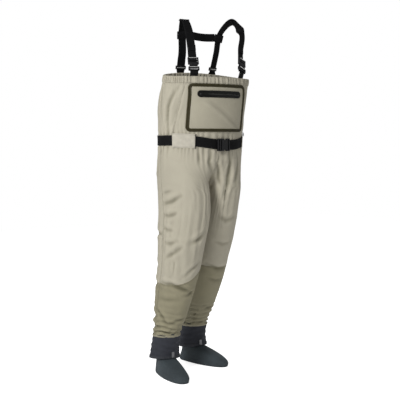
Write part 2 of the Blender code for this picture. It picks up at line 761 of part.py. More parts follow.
def build_zipper():
    zip_strip("zipper_tape", ZIP_Z - TAPE_H / 2, ZIP_Z + TAPE_H / 2, (0.0058, 0.0068), "trim", ZIP_HALF)
    zip_strip("zipper_teeth", ZIP_Z - 0.003, ZIP_Z + 0.003, (0.0071, 0.0089), "plastic", ZIP_HALF - 0.03)
    start = -ZIP_HALF + 0.062
    place = zip_point(start, ZIP_Z, 0.0093)
    out = Vector((math.sin(start), -math.cos(start), 0))
    frame = frame_at(place, (math.cos(start), math.sin(start), 0), (0, 0, 1))
    if (frame.to_3x3() @ Vector((0, 1, 0))).dot(out) < 0:
        frame = frame_at(place, (math.cos(start), math.sin(start), 0), (0, 0, -1))
    axis = (0.0, zip_centre(), ZIP_Z)
    body = block("zip_slider", (-0.0045, 0.0002, -0.007), (0.0045, 0.0028, 0.007), frame)
    combine(body, (-0.0012, 0.0020, -0.004), (0.0012, 0.0050, 0.004), frame, "UNION")
    finish_object(apply_modifiers(body), "plastic", axis)
    pin = frame @ Vector((0, 0.0068, 0.0))
    pull_frame = frame.copy()
    pull_frame.translation = pin
    pull = block("zip_pull", (-0.005, -0.0010, -0.0010), (0.005, 0.0010, 0.026), pull_frame)
    finish_object(pull, "trim", pin)


def build_pocket():
    pocket_panel()
    pocket_frame()
    build_zipper()


# ---------------------------------------------------------------- gravel guard hooks

def build_hook(side, name):
    """Flat hook at the front of the gravel guard's lower edge."""
    top = leg_point(side, 0.25, GUARD_LOW + 0.033, 0.0175)
    ahead = leg_point(side, 0.25, GUARD_LOW, 0.03) - leg_point(side, 0.25, GUARD_LOW, 0.0)
    ahead.normalize()
    across = Vector((0, 0, 1)).cross(ahead)
    low = Vector((0, 0, -1))
    outline = [(0.0, 0.0), (0.0, 0.018), (0.001, 0.0225), (0.0045, 0.0245), (0.0075, 0.0215)]
    sections = []
    for k, (forward, down) in enumerate(outline):
        p = top + ahead * forward + low * down
        q = outline[min(k + 1, len(outline) - 1)]
        r = outline[max(k - 1, 0)]
        along = (ahead * (q[0] - r[0]) + low * (q[1] - r[1])).normalized()
        normal = along.cross(across)
        w, h = across * 0.0065, normal * 0.0009
        sections.append([p - w + h, p + w + h, p + w - h, p - w - h])
    sweep(f"{name}_guard_hook", sections, "metal", origin=top)


def centre_on_floor():
    """Moves everything level so that the middle of the overall width and depth is x = y = 0."""
    bpy.context.view_layer.update()
    solids = [o for o in bpy.data.objects if o.type == "MESH"]
    corners = [o.matrix_world @ Vector(c) for o in solids for c in o.bound_box]
    for axis in (0, 1):
        values = [c[axis] for c in corners]
        for obj in solids:
            obj.location[axis] -= (min(values) + max(values)) / 2


def main():
    clear_scene()
    build_bib()
    build_hem()
    for side, name in ((-1, "right"), (1, "left")):
        build_leg(side, name)
        build_strap(side, name)
        build_hook(side, name)
    build_yoke()
    build_belt()
    build_pocket()
    centre_on_floor()


main()
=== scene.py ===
"""Chest waders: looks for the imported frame. Metres, +Z up, the wearer faces -Y."""

import math

import bmesh
import bpy
import numpy as np
from mathutils import Matrix, Vector
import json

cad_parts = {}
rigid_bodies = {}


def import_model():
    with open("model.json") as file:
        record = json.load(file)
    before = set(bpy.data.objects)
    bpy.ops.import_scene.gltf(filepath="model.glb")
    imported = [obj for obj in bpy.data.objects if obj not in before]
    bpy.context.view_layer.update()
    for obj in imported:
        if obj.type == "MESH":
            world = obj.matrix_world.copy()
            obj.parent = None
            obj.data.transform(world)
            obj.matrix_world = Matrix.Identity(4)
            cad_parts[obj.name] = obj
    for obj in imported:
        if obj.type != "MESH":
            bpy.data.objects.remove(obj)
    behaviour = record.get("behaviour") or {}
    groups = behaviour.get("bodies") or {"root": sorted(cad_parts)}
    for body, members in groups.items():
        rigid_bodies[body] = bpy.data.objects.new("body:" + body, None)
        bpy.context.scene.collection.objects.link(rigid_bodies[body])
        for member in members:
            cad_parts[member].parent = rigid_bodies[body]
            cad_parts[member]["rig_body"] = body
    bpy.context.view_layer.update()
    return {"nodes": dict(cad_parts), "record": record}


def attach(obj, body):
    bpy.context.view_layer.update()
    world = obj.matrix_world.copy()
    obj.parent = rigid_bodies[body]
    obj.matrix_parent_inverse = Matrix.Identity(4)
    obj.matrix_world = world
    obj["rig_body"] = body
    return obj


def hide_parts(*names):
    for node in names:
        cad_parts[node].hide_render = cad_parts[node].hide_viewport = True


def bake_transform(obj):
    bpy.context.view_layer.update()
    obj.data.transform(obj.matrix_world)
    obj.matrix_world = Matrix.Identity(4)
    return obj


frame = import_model()
JOINTS = {j["name"]: j for j in frame["record"]["behaviour"]["joints"]}
HIP_Y = JOINTS["right_hip"]["pos_m"][1]

# ---- cut of the garment: height keys and half width, half depth, centre y
TORSO_Z = (0.82, 0.87, 0.94, 1.00, 1.055, 1.12, 1.20, 1.27, 1.33, 1.40)
TORSO_A = (0.190, 0.198, 0.207, 0.208, 0.206, 0.210, 0.215, 0.219, 0.217, 0.215)
TORSO_B = (0.140, 0.146, 0.150, 0.144, 0.137, 0.141, 0.144, 0.134, 0.103, 0.085)
TORSO_Y = (0.000, 0.000, 0.000, -0.004, -0.010, -0.012, -0.018, -0.034, -0.056, -0.066)
LEG_Z = (0.02, 0.10, 0.185, 0.30, 0.40, 0.52, 0.65, 0.75, 0.83, 0.98)
LEG_X = (0.126, 0.126, 0.1245, 0.1195, 0.1145, 0.109, 0.108, 0.104, 0.102, 0.103)
LEG_A = (0.054, 0.056, 0.0615, 0.0765, 0.088, 0.097, 0.101, 0.097, 0.093, 0.098)
LEG_B = (0.052, 0.052, 0.060, 0.073, 0.086, 0.100, 0.119, 0.134, 0.143, 0.145)
INNER_FLAT, FLAT_LOW, FLAT_HIGH = 0.42, 0.56, 0.80
RIGHT_Y = (0.110, 0.098, 0.083, 0.052, 0.026, -0.004, -0.022, -0.024, -0.012, 0.0)
LEFT_Y = (0.262, 0.248, 0.231, 0.184, 0.142, 0.096, 0.056, 0.030, 0.012, 0.0)
LEG_Y = {-1: RIGHT_Y, 1: LEFT_Y}
WAIST_Z, RIM_FRONT, RIM_BACK, HEM = 1.055, 1.3425, 1.372, 0.028
CROTCH_Z, SPLIT_Z, LEG_END = 0.83, 0.985, 0.183
SEAM_TOP, SEAM_LOW, SEAM_BACK = 47 / 180, 68 / 180, 128 / 180
BELT_W, BELT_Z, BELT_SAG = 0.044, 1.048, 0.020
NAMES = {-1: "right", 1: "left"}
CLOTH = 0.0014
UP = np.array((0, 0, 1.0))
SHELL = ("light", "seam", "inside")  # materials of a panel: face, seam band, lining

# ---- grid of the cloth: columns from the front centre round one side to the back centre
COLUMNS, COL_FRONT, COL_SIDE, COL_BACK = 64, 20, 32, 46
ROWS = {"hem": 4, "bib": 28, "hip": 22, "thigh": 32, "shin": 44}
KNEE_EDGE = {  # height of the edge between the two cloths at s = 0, 1/8 ... 1
    -1: (0.535, 0.500, 0.452, 0.436, 0.440, 0.452, 0.480, 0.512, 0.535),
    1: (0.512, 0.500, 0.492, 0.487, 0.484, 0.487, 0.492, 0.500, 0.512),
}


def at(table, z, keys):
    """Smooth value of a table at the heights z."""
    keys, table = np.asarray(keys, float), np.asarray(table, float)
    z = np.clip(z, keys[0], keys[-1])
    i = np.clip(np.searchsorted(keys, z, side="right") - 1, 0, len(keys) - 2)
    slopes = np.gradient(table, keys)
    h = keys[i + 1] - keys[i]
    t = (z - keys[i]) / h
    rise = table[i] * (1 + 2 * t) * (1 - t) ** 2 + table[i + 1] * t * t * (3 - 2 * t)
    return rise + h * t * (1 - t) * (slopes[i] * (1 - t) - slopes[i + 1] * t)


def belt_rise(phi):
    """The belt sags at the front, where its buckle is."""
    away = (phi - math.radians(15) + math.pi) % (2 * math.pi) - math.pi
    return BELT_SAG * (1 - np.exp(-(away / math.radians(38)) ** 2))


def smooth(t):
    t = np.clip(t, 0, 1)
    return t * t * (3 - 2 * t)


def rim_z(s):
    return RIM_FRONT + (RIM_BACK - RIM_FRONT) * ((1 - np.cos(np.pi * s)) / 2) ** 2.5


def leg_share(z):
    return smooth((SPLIT_Z - z) / (SPLIT_Z - CROTCH_Z))


def outline(side, s, z):
    """Point of one half of the garment; s runs from the front centre round to the back centre."""
    a, b, cy = (at(t, z, TORSO_Z) for t in (TORSO_A, TORSO_B, TORSO_Y))
    wide, deep, mid_x = (at(t, z, LEG_Z) for t in (LEG_A, LEG_B, LEG_X))
    mid_y = at(LEG_Y[side], z, LEG_Z)
    w, turn = leg_share(z), 2 * np.pi * s
    power = np.where(np.cos(turn) > 0, 1 - INNER_FLAT * smooth((z - FLAT_LOW) / (FLAT_HIGH - FLAT_LOW)), 1)
    c, d = (np.copysign(np.abs(v) ** power, v) for v in (np.cos(turn), np.sin(turn)))
    x = a * np.sin(np.pi * s) * (1 - w) + (mid_x - wide * c) * w
    y = (cy - b * np.cos(np.pi * s)) * (1 - w) + (mid_y - deep * d) * w
    return np.stack([side * x, y + HIP_Y, z + 0 * x], -1)


# ---------------------------------------------------------------- cloth sheet

class Sheet:
    """Both halves of the garment as grids of points, welded along the centre and inner leg."""

    def __init__(self, points, s, z, crotch):
        self.p, self.s, self.z, self.crotch = points, s, z, crotch
        self.fold = {side: 0 * z[side] for side in z}
        self.weld()

    def weld(self):
        c, p = self.crotch, self.p
        for col in (0, -1):
            middle = (p[-1][:c, col] + p[1][:c, col]) / 2
            p[-1][:c, col] = p[1][:c, col] = middle
        point = sum(p[k][c, col] for k in (-1, 1) for col in (0, -1)) / 4
        for k in (-1, 1):
            p[k][c, 0] = p[k][c, -1] = point
            inner = (p[k][c + 1:, 0] + p[k][c + 1:, -1]) / 2
            p[k][c + 1:, 0] = p[k][c + 1:, -1] = inner

    def padded(self, side):
        """The grid with one more column at each end, taken from across the weld."""
        own, other, c = self.p[side], self.p[-side], self.crotch + 1
        first = np.concatenate([other[:c, 1], own[c:, -2]])
        last = np.concatenate([other[:c, -2], own[c:, 1]])
        return np.concatenate([first[:, None], own, last[:, None]], 1)

    def normals(self, side):
        wide = self.padded(side)
        across = wide[:, 2:] - wide[:, :-2]
        down = np.gradient(self.p[side], axis=0)
        n = -side * np.cross(across, down)
        size = np.linalg.norm(n, axis=-1, keepdims=True)
        return n / np.maximum(size, 1e-9)

    def refined(self):
        points, s, z = {}, {}, {}
        for side in (-1, 1):
            wide = self.padded(side)
            mid = (9 * (wide[:, 1:-2] + wide[:, 2:-1]) - wide[:, :-3] - wide[:, 3:]) / 16
            points[side] = weave_rows(weave(self.p[side], mid, 1))
            for new, old in ((s, self.s), (z, self.z)):
                half = weave(old[side], (old[side][:, 1:] + old[side][:, :-1]) / 2, 1)
                new[side] = weave(half, (half[1:] + half[:-1]) / 2, 0)
        return Sheet(points, s, z, self.crotch * 2)

    def place(self, side, s, z):
        """Row and column, as fractions, of the point (s, z)."""
        rows, cols = self.s[side].shape
        row, col = rows / 2, s * (cols - 1)
        for _ in range(6):
            j = min(int(round(col)), cols - 1)
            row = float(np.interp(-z, -self.z[side][:, j], np.arange(rows)))
            i = min(int(round(row)), rows - 1)
            col = float(np.interp(s, self.s[side][i], np.arange(cols)))
        return row, col

    def skin(self, side, s, z, off=0.0):
        """Point at (s, z) moved out by off, and the direction out."""
        row, col = self.place(side, s, z)
        p = sample(self.p[side], row, col)
        n = sample(self.n[side], row, col)
        n = n / np.linalg.norm(n)
        return p + n * off, n

    def finish(self):
        self.n = {side: self.normals(side) for side in (-1, 1)}
        return self


def weave(a, mid, axis):
    shape = list(a.shape)
    shape[axis] += mid.shape[axis]
    out = np.empty(shape)
    even, odd = [slice(None)] * a.ndim, [slice(None)] * a.ndim
    even[axis], odd[axis] = slice(0, None, 2), slice(1, None, 2)
    out[tuple(even)], out[tuple(odd)] = a, mid
    return out


def weave_rows(a):
    wide = np.concatenate([2 * a[:1] - a[1:2], a, 2 * a[-1:] - a[-2:-1]])
    mid = (9 * (wide[1:-2] + wide[2:-1]) - wide[:-3] - wide[3:]) / 16
    return weave(a, mid, 0)


def sample(grid, row, col):
    i, j = min(int(row), grid.shape[0] - 2), min(int(col), grid.shape[1] - 2)
    u, v = row - i, col - j
    low = grid[i, j] * (1 - v) + grid[i, j + 1] * v
    high = grid[i + 1, j] * (1 - v) + grid[i + 1, j + 1] * v
    return low * (1 - u) + high * u


def column_s(front, side, back):
    """Share round the half at each column, given the places of the three seams."""
    knots = (0, COL_FRONT, COL_SIDE, COL_BACK, COLUMNS)
    return np.interp(np.arange(COLUMNS + 1), knots, (0, front, side, back, 1))


def row_heights(side):
    """Height and share of every grid point."""
    heights, shares = [], []
    waist = column_s(SEAM_LOW, 0.5, SEAM_BACK)

    def add(s, z):
        shares.append(s)
        heights.append(z + 0 * s)

    top = column_s(SEAM_TOP, 0.5, SEAM_BACK)
    for i in range(ROWS["hem"]):
        add(top, rim_z(top) - HEM * i / ROWS["hem"])
    for i in range(ROWS["bib"]):
        t = i / ROWS["bib"]
        s = column_s(SEAM_TOP + (SEAM_LOW - SEAM_TOP) * t, 0.5, SEAM_BACK)
        add(s, (rim_z(s) - HEM) * (1 - t) + WAIST_Z * t)
    low = column_s(0.25, 0.5, 0.75)
    for i in range(ROWS["hip"]):
        t = i / ROWS["hip"]
        add(waist + (low - waist) * smooth(t), WAIST_Z + (CROTCH_Z - WAIST_Z) * t)
    edge = at(KNEE_EDGE[side], low, np.linspace(0, 1, 9))
    for i in range(ROWS["thigh"]):
        add(low, CROTCH_Z + (edge - CROTCH_Z) * i / ROWS["thigh"])
    for i in range(ROWS["shin"] + 1):
        add(low, edge + (LEG_END - edge) * i / ROWS["shin"])
    return np.array(shares), np.array(heights)


def base_sheet():
    points, s, z = {}, {}, {}
    for side in (-1, 1):
        s[side], z[side] = row_heights(side)
        points[side] = outline(side, s[side], z[side])
    return Sheet(points, s, z, ROWS["hem"] + ROWS["bib"] + ROWS["hip"])


def weld_ids(shape, crotch):
    rows, cols = shape
    ids = {-1: np.arange(rows * cols).reshape(shape)}
    ids[1] = ids[-1] + rows * cols
    for col in (0, -1):
        ids[1][:crotch + 1, col] = ids[-1][:crotch + 1, col]
    for side in (-1, 1):
        ids[side][crotch, 0] = ids[side][crotch, -1] = ids[-1][crotch, 0]
        ids[side][crotch + 1:, -1] = ids[side][crotch + 1:, 0]
    return ids


def quads(ids, side):
    a, b, c, d = ids[:-1, :-1], ids[:-1, 1:], ids[1:, 1:], ids[1:, :-1]
    order = (a, b, c, d) if side < 0 else (a, d, c, b)
    return np.stack(order, -1).reshape(-1, 4)


def welded_mesh(sheet):
    """(ids, vertices, faces) of the whole garment, each point once."""
    ids = weld_ids(sheet.s[-1].shape, sheet.crotch)
    faces = np.concatenate([quads(ids[side], side) for side in (-1, 1)])
    used, index = np.unique(faces, return_inverse=True)
    points = np.concatenate([sheet.p[side].reshape(-1, 3) for side in (-1, 1)])
    place = np.full(len(points), -1)
    place[used] = np.arange(len(used))
    return {k: place[v] for k, v in ids.items()}, points[used], index.reshape(-1, 4)


def new_object(name, points, faces):
    mesh = bpy.data.meshes.new(name)
    mesh.from_pydata(np.asarray(points).tolist(), [], [tuple(map(int, f)) for f in faces])
    mesh.update()
    obj = bpy.data.objects.new(name, mesh)
    bpy.context.scene.collection.objects.link(obj)
    return obj


# ---------------------------------------------------------------- cloth simulation

SIM_FRAMES = 55
BODY_INSET, MOST_SHIFT = 0.0075, 0.026  # wearer inside the cloth, farthest drape kept
SLACK_Z = (0.18, 0.25, 0.33, 0.42, 0.50, 0.60, 0.75, 0.90, 1.02, 1.05, 1.10, 1.25, 1.38)
SLACK_UP = (0.24, 0.24, 0.16, 0.10, 0.10, 0.08, 0.06, 0.06, 0.08, 0.08, 0.06, 0.05, 0.04)
SLACK_ROUND = (0.06, 0.06, 0.06, 0.06, 0.06, 0.05, 0.05, 0.07, 0.12, 0.14, 0.10, 0.07, 0.10)


def slack_shape(sheet, side):
    """The cloth's own size: larger than the space that it fills, so that it folds."""
    z, p = sheet.z[side], sheet.p[side]
    keys = np.linspace(0.18, 1.38, 400)
    grown = 1 + np.interp(keys, SLACK_Z, SLACK_UP)
    height = np.concatenate([[0], np.cumsum((grown[1:] + grown[:-1]) / 2 * np.diff(keys))])
    w = leg_share(z)
    cx = side * at(LEG_X, z, LEG_Z) * w
    cy = at(TORSO_Y, z, TORSO_Z) * (1 - w) + at(LEG_Y[side], z, LEG_Z) * w + HIP_Y
    wide = 1 + np.interp(z, SLACK_Z, SLACK_ROUND)
    x, y = cx + (p[..., 0] - cx) * wide, cy + (p[..., 1] - cy) * wide
    return np.stack([x, y, 0.18 + np.interp(z, keys, height)], -1)


def pin_weights(sheet, side):
    """How firmly a point is held: the hem, the belt and the leg end hold, the rest drapes."""
    s, z = sheet.s[side], sheet.z[side]
    belt = BELT_Z + belt_rise(side * s * np.pi)
    hold = 0.75 * np.exp(-((rim_z(s) - z) / 0.022) ** 2)
    hold += 0.90 * np.exp(-((z - belt) / 0.020) ** 4)
    hold += 0.98 * np.exp(-((z - LEG_END) / 0.012) ** 2)
    x = np.abs(sheet.p[side][..., 0])
    pocket = smooth((0.176 - x) / 0.022) * smooth((z - 1.082) / 0.020) * (s < 0.45)
    return np.clip(hold + pocket, 0.0, 1.0)


def drape(sheet):
    """Lets the cloth settle over the wearer's shape and returns the sheet as it hangs."""
    scene = bpy.context.scene
    ids, points, faces = welded_mesh(sheet)
    cloth = new_object("cloth_sim", points, faces)
    body = new_object("cloth_body", points, faces)
    normals = np.array([v.normal for v in body.data.vertices])
    for v, n in zip(body.data.vertices, normals):
        v.co -= Vector(n) * BODY_INSET
    rest = points.copy()
    hold = np.zeros(len(points))
    for side in (-1, 1):
        rest[ids[side]] = slack_shape(sheet, side)
        hold[ids[side]] = pin_weights(sheet, side)
    for col in (0, -1):
        rows = slice(0, sheet.crotch + 1)
        rest[ids[-1][rows, col], 0] = 0.0
    cloth.shape_key_add(name="Basis")
    key = cloth.shape_key_add(name="slack")
    key.data.foreach_set("co", rest.astype(np.float32).ravel())
    group = cloth.vertex_groups.new(name="hold")
    for i, w in enumerate(hold):
        group.add([i], float(w), "REPLACE")
    hit = body.modifiers.new("Collision", "COLLISION")
    hit.settings.thickness_outer = 0.002
    hit.settings.cloth_friction = 12
    cloth_settings(cloth, key)
    scene.frame_start, scene.frame_end = 1, SIM_FRAMES
    for f in range(1, SIM_FRAMES + 1):
        scene.frame_set(f)
    done = cloth.evaluated_get(bpy.context.evaluated_depsgraph_get()).to_mesh()
    moved = np.array([v.co for v in done.vertices])
    scene.frame_set(1)
    for obj in (cloth, body):
        bpy.data.objects.remove(obj, do_unlink=True)
    shift = moved - points
    size = np.linalg.norm(shift, axis=1, keepdims=True)
    points = points + shift * np.minimum(1, MOST_SHIFT / np.maximum(size, 1e-9))
    hung = {side: points[ids[side]] for side in (-1, 1)}
    return Sheet(hung, sheet.s, sheet.z, sheet.crotch)


def cloth_settings(obj, key):
    modifier = obj.modifiers.new("Cloth", "CLOTH")
    modifier.point_cache.frame_end = SIM_FRAMES
    s = modifier.settings
    s.quality, s.mass, s.air_damping, s.time_scale = 5, 0.25, 3.0, 0.6
    s.tension_stiffness = s.compression_stiffness = 22
    s.shear_stiffness, s.bending_stiffness = 9, 0.35
    s.tension_damping = s.compression_damping = s.shear_damping = 12
    s.bending_damping = 1.0
    s.vertex_group_mass, s.pin_stiffness = "hold", 1.0
    s.rest_shape_key = key
    c = modifier.collision_settings
    c.use_collision, c.distance_min, c.use_self_collision = True, 0.002, False
    c.collision_quality = 2


# ---------------------------------------------------------------- folds

PLEAT_DEPTH, CRINKLE_DEPTH, CUFF_DEPTH = 0.0042, 0.0016, 0.0042


def waves(u, v, seed, count=5):
    """Slow irregular variation in about -1..1."""
    rng = np.random.default_rng(seed)
    total = 0
    for _ in range(count):
        a, b, c = rng.normal(size=2).tolist() + [rng.uniform(0, 6.3)]
        total = total + np.sin(a * u + b * v + c)
    return total / count ** 0.5


def gathers(sheet, side):
    """Fine upright pleats that start at the belt and fade away from it."""
    s, z = sheet.s[side], sheet.z[side]
    phi = side * s * np.pi
    lean = 0.9 * waves(phi * 4, z * 9, 3)
    pleat = np.sin(phi * 50 + 4.0 * waves(phi * 7, 0 * z, 4) + lean)
    length = 0.030 + 0.016 * waves(phi * 9, 0 * z, 5)
    belt = BELT_Z + belt_rise(phi)
    below = np.exp(-np.clip(belt - BELT_W / 2 - z, 0, None) / np.maximum(length, 0.012))
    above = np.exp(-np.clip(z - belt - BELT_W / 2, 0, None) / 0.022)
    near = np.where(z < belt, below, above * 0.8)
    under = np.exp(-((z - belt) / 0.026) ** 8)
    top = np.exp(-np.clip(rim_z(s) - HEM - z, 0, None) / 0.018)
    crinkle = np.sin(phi * 62 + 5.0 * waves(phi * 9, 0 * z, 6)) * top * CRINKLE_DEPTH
    return pleat * near * (1 - under) * PLEAT_DEPTH - under * 0.0015 + crinkle


def cuff_wrinkles(sheet, side):
    """Stacked level wrinkles above the gravel guards."""
    s, z = sheet.s[side], sheet.z[side]
    turn = 2 * np.pi * s
    low = np.exp(-((z - LEG_END) / 0.105) ** 2) * (1 - np.exp(-((z - LEG_END) / 0.007) ** 2))
    phase = (z - LEG_END) * 250 + 1.6 * waves(np.cos(turn) * 2, np.sin(turn) * 2 + z * 14, 11 + side)
    ridge = np.sin(phase + 1.1 * np.sin(2 * turn + side))
    ridge = np.sign(ridge) * np.abs(ridge) ** 0.8
    strength = 0.65 + 0.45 * waves(np.cos(turn) * 3, z * 30 + np.sin(turn) * 3, 17 + side)
    return ridge * low * np.clip(strength, 0.1, 1.3) * CUFF_DEPTH


# Creases seen in the photograph: side, path as (s, z), half width, depth
CREASES = (
    (-1, ((0.325, 1.292), (0.375, 1.251), (0.403, 1.217), (0.413, 1.156), (0.41, 1.095)), 0.009, 0.006),
    (-1, ((0.288, 1.242), (0.318, 1.19), (0.333, 1.138)), 0.007, 0.003),
    (-1, ((0.525, 1.312), (0.503, 1.244), (0.495, 1.158)), 0.01, 0.003),
    (1, ((0.295, 1.322), (0.245, 1.25), (0.268, 1.196)), 0.008, 0.004),
    (-1, ((0.048, 1.018), (0.065, 0.975), (0.018, 0.916)), 0.009, 0.0045),
    (1, ((0.025, 1.018), (0.0, 0.969), (0.065, 0.903), (0.135, 0.867)), 0.009, 0.006),
    (1, ((0.11, 1.018), (0.13, 0.946), (0.182, 0.885), (0.193, 0.813)), 0.012, 0.0085),
    (1, ((0.2, 1.016), (0.233, 0.937), (0.258, 0.847)), 0.011, 0.0045),
    (-1, ((0.145, 1.014), (0.14, 0.971)), 0.007, 0.0035),
    (-1, ((0.077, 0.885), (0.125, 0.847)), 0.007, 0.004),
    (-1, ((0.503, 0.795), (0.438, 0.806), (0.38, 0.833)), 0.011, 0.0065),
    (-1, ((0.503, 0.747), (0.453, 0.745), (0.405, 0.758)), 0.01, 0.0055),
    (-1, ((0.505, 0.693), (0.465, 0.684), (0.425, 0.681)), 0.01, 0.0045),
    (-1, ((0.49, 0.842), (0.435, 0.853)), 0.009, 0.0035),
    (-1, ((0.28, 0.625), (0.233, 0.641), (0.18, 0.673)), 0.013, 0.006),
    (-1, ((0.482, 0.63), (0.43, 0.623), (0.378, 0.638)), 0.01, 0.004),
    (-1, ((0.455, 0.56), (0.403, 0.58), (0.345, 0.607)), 0.01, 0.0055),
    (-1, ((0.405, 0.562), (0.385, 0.539), (0.383, 0.512), (0.38, 0.481)), 0.006, 0.0035),
    (-1, ((0.295, 0.474), (0.238, 0.51), (0.173, 0.542)), 0.01, 0.004),
    (-1, ((0.49, 0.448), (0.383, 0.44), (0.297, 0.422), (0.185, 0.399)), 0.01, 0.0085),
    (-1, ((0.255, 0.385), (0.205, 0.392), (0.163, 0.408)), 0.009, 0.005),
    (-1, ((0.56, 0.339), (0.448, 0.3), (0.355, 0.25)), 0.01, 0.006),
    (-1, ((0.355, 0.25), (0.28, 0.264), (0.173, 0.28)), 0.009, 0.0045),
    (-1, ((0.497, 0.376), (0.388, 0.369), (0.283, 0.367)), 0.011, 0.0035),
    (1, ((0.145, 0.513), (0.235, 0.487), (0.395, 0.483)), 0.012, 0.006),
    (1, ((0.168, 0.618), (0.233, 0.603), (0.323, 0.612)), 0.011, 0.0035),
    (1, ((0.168, 0.737), (0.233, 0.712), (0.288, 0.728)), 0.013, 0.0045),
    (1, ((0.17, 0.444), (0.245, 0.427), (0.367, 0.423)), 0.012, 0.004),
    (1, ((0.205, 0.3), (0.27, 0.287), (0.333, 0.292)), 0.01, 0.0045),
)


def loose_creases(side, count=26):
    """Level and slanting folds round the back and the outside, where the legs bend."""
    rng = np.random.default_rng(40 + side)
    bands = ((0.20, 0.36), (0.40, 0.56), (0.62, 0.84), (0.86, 1.00), (1.10, 1.30))
    found = []
    for i in range(count):
        low, high = bands[i % len(bands)]
        s, z = rng.uniform(0.58, 0.94), rng.uniform(low, high)
        run, rise = rng.uniform(0.05, 0.15), rng.uniform(-0.035, 0.035) * (2 if i % 5 > 2 else 1)
        path = ((s - run, z - rise), (s, z + 0.006), (s + run, z + rise))
        found.append((side, path, rng.uniform(0.009, 0.014), rng.uniform(0.0030, 0.0065)))
    return found


def creases(sheet, side):
    """Valleys with a soft ridge on their upper side."""
    s, z = sheet.s[side], sheet.z[side]
    where, total = outline(side, s, z), 0.0
    for owner, path, width, depth in CREASES + tuple(loose_creases(side)):
        if owner != side:
            continue
        knots = np.linspace(0, len(path) - 1, 40)
        line = outline(side, *(np.interp(knots, range(len(path)), [q[k] for q in path]) for k in (0, 1)))
        near = np.full(z.shape, 9.0)
        above, share = np.zeros(z.shape), np.zeros(z.shape)
        for k, q in enumerate(line):
            gap = np.linalg.norm(where - q, axis=-1)
            closer = gap < near
            near = np.where(closer, gap, near)
            along = line[min(k + 1, 39)] - line[max(k - 1, 0)]
            normal = np.cross(along, UP)
            level = abs(along[2]) < 0.8 * np.linalg.norm(along)
            lift = np.sign(z - q[2]) if level else np.sign((where - q) @ normal)
            above, share = np.where(closer, lift, above), np.where(closer, k / 39, share)
        fade = 0.30 + 0.70 * np.sin(np.pi * share)
        total = total - depth * fade * np.exp(-(near / width) ** 2)
        total = total + 0.6 * depth * fade * np.exp(-((near - 1.8 * width) / width) ** 2) * (above > 0)
        total = total + 0.3 * depth * fade * np.exp(-((near - 1.8 * width) / width) ** 2) * (above <= 0)
    return total


def shaped(sheet):
    """Adds the folds; their depth is kept for the cloth's painted shade in the valleys and painted highlight on
    the ridges, with more painted shade between the thighs.
    """
    sheet.finish()
    for side in (-1, 1):
        s, z = sheet.s[side], sheet.z[side]
        push = gathers(sheet, side) + cuff_wrinkles(sheet, side) + creases(sheet, side)
        sheet.p[side] = sheet.p[side] + sheet.n[side] * push[..., None]
        inner = np.minimum(s, 1 - s)
        between = (1 - smooth(inner / 0.09)) * smooth((0.86 - z) / 0.05) * smooth((z - 0.20) / 0.10)
        # painted shade between the thighs: it darkens the cloth's colour there and does not move the cloth
        sheet.fold[side] = push - 0.0060 * between
    sheet.weld()
    return sheet.finish()


# ---------------------------------------------------------------- building pieces

class Build:
    """Collects points, faces, their material number and UVs for one piece."""

    def __init__(self):
        self.points, self.faces, self.slots, self.uv, self.normal, self.fold = [], [], [], [], [], []

    def add(self, points, faces, slot=0, uv=None, normals=None, fold=None):
        start = len(self.points)
        self.fold += [0.0] * len(points) if fold is None else [float(f) for f in fold]
        self.points += [tuple(map(float, p)) for p in points]
        uv = uv if uv is not None else [(0.0, 0.0)] * len(points)
        self.uv += [tuple(map(float, p)) for p in uv]
        none = [(0.0, 0.0, 0.0)] * len(points)
        self.normal += none if normals is None else [tuple(map(float, n)) for n in normals]
        self.faces += [tuple(start + int(v) for v in f) for f in faces]
        self.slots += list(slot) if hasattr(slot, "__len__") else [slot] * len(faces)
        return start

    def object(self, name, materials):
        mesh = bpy.data.meshes.new(name)
        mesh.from_pydata(self.points, [], self.faces)
        for material in materials:
            mesh.materials.append(material)
        mesh.polygons.foreach_set("material_index", self.slots)
        mesh.polygons.foreach_set("use_smooth", [True] * len(self.faces))
        # fold depth of each point, kept for the cloth's painted shade and painted highlight
        mesh.attributes.new("fold", "FLOAT", "POINT").data.foreach_set("value", self.fold)
        layer = mesh.uv_layers.new(name="UVMap")
        loops = np.empty(len(mesh.loops), np.int32)
        mesh.loops.foreach_get("vertex_index", loops)
        layer.data.foreach_set("uv", np.array(self.uv, np.float32)[loops].ravel())
        normals = np.array(self.normal)[loops]
        if np.abs(normals).sum() > 0:
            mesh.normals_split_custom_set(normals.tolist())
        mesh.update()
        obj = bpy.data.objects.new(name, mesh)
        bpy.context.scene.collection.objects.link(obj)
        return obj


def made(build, name, materials, nodes):
    """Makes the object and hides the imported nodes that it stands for."""
    obj = build.object(name, [MATERIALS[m] for m in materials])
    if nodes:
        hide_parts(*nodes)
    return obj


def piece(build, name, materials, nodes, body):
    """The same for a piece that moves with one body."""
    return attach(made(build, name, materials, nodes), body)


def tube_faces(rings, size, closed=False, around=True):
    """Quads between rings of points; around joins each ring's last point to its first."""
    faces = []
    for i in range(rings if closed else rings - 1):
        j = (i + 1) % rings
        for k in range(size if around else size - 1):
            m = (k + 1) % size
            faces.append((i * size + k, i * size + m, j * size + m, j * size + k))
    return faces


def loft(build, rings, slot=0, closed=False, caps=True, lengths=None, flip=False):
    """Skin over rings of points; UVs run along in metres and round the ring in metres."""
    size, points, uv, along = len(rings[0]), [], [], 0.0
    for i, ring in enumerate(rings):
        ring = [np.asarray(p, float) for p in ring]
        if i:
            along += float(np.linalg.norm(np.mean(ring, 0) - np.mean(points[-size:], 0)))
        points += ring
        round_ = 0.0
        for k, p in enumerate(ring):
            if k:
                round_ += float(np.linalg.norm(p - ring[k - 1]))
            uv.append((lengths[i] if lengths else along, round_))
    faces = tube_faces(len(rings), size, closed)
    if caps and not closed:
        faces.append(tuple(range(size))[::-1])
        faces.append(tuple((len(rings) - 1) * size + k for k in range(size)))
    if flip:
        faces = [f[::-1] for f in faces]
    build.add(points, faces, slot, uv)


LINING = 2


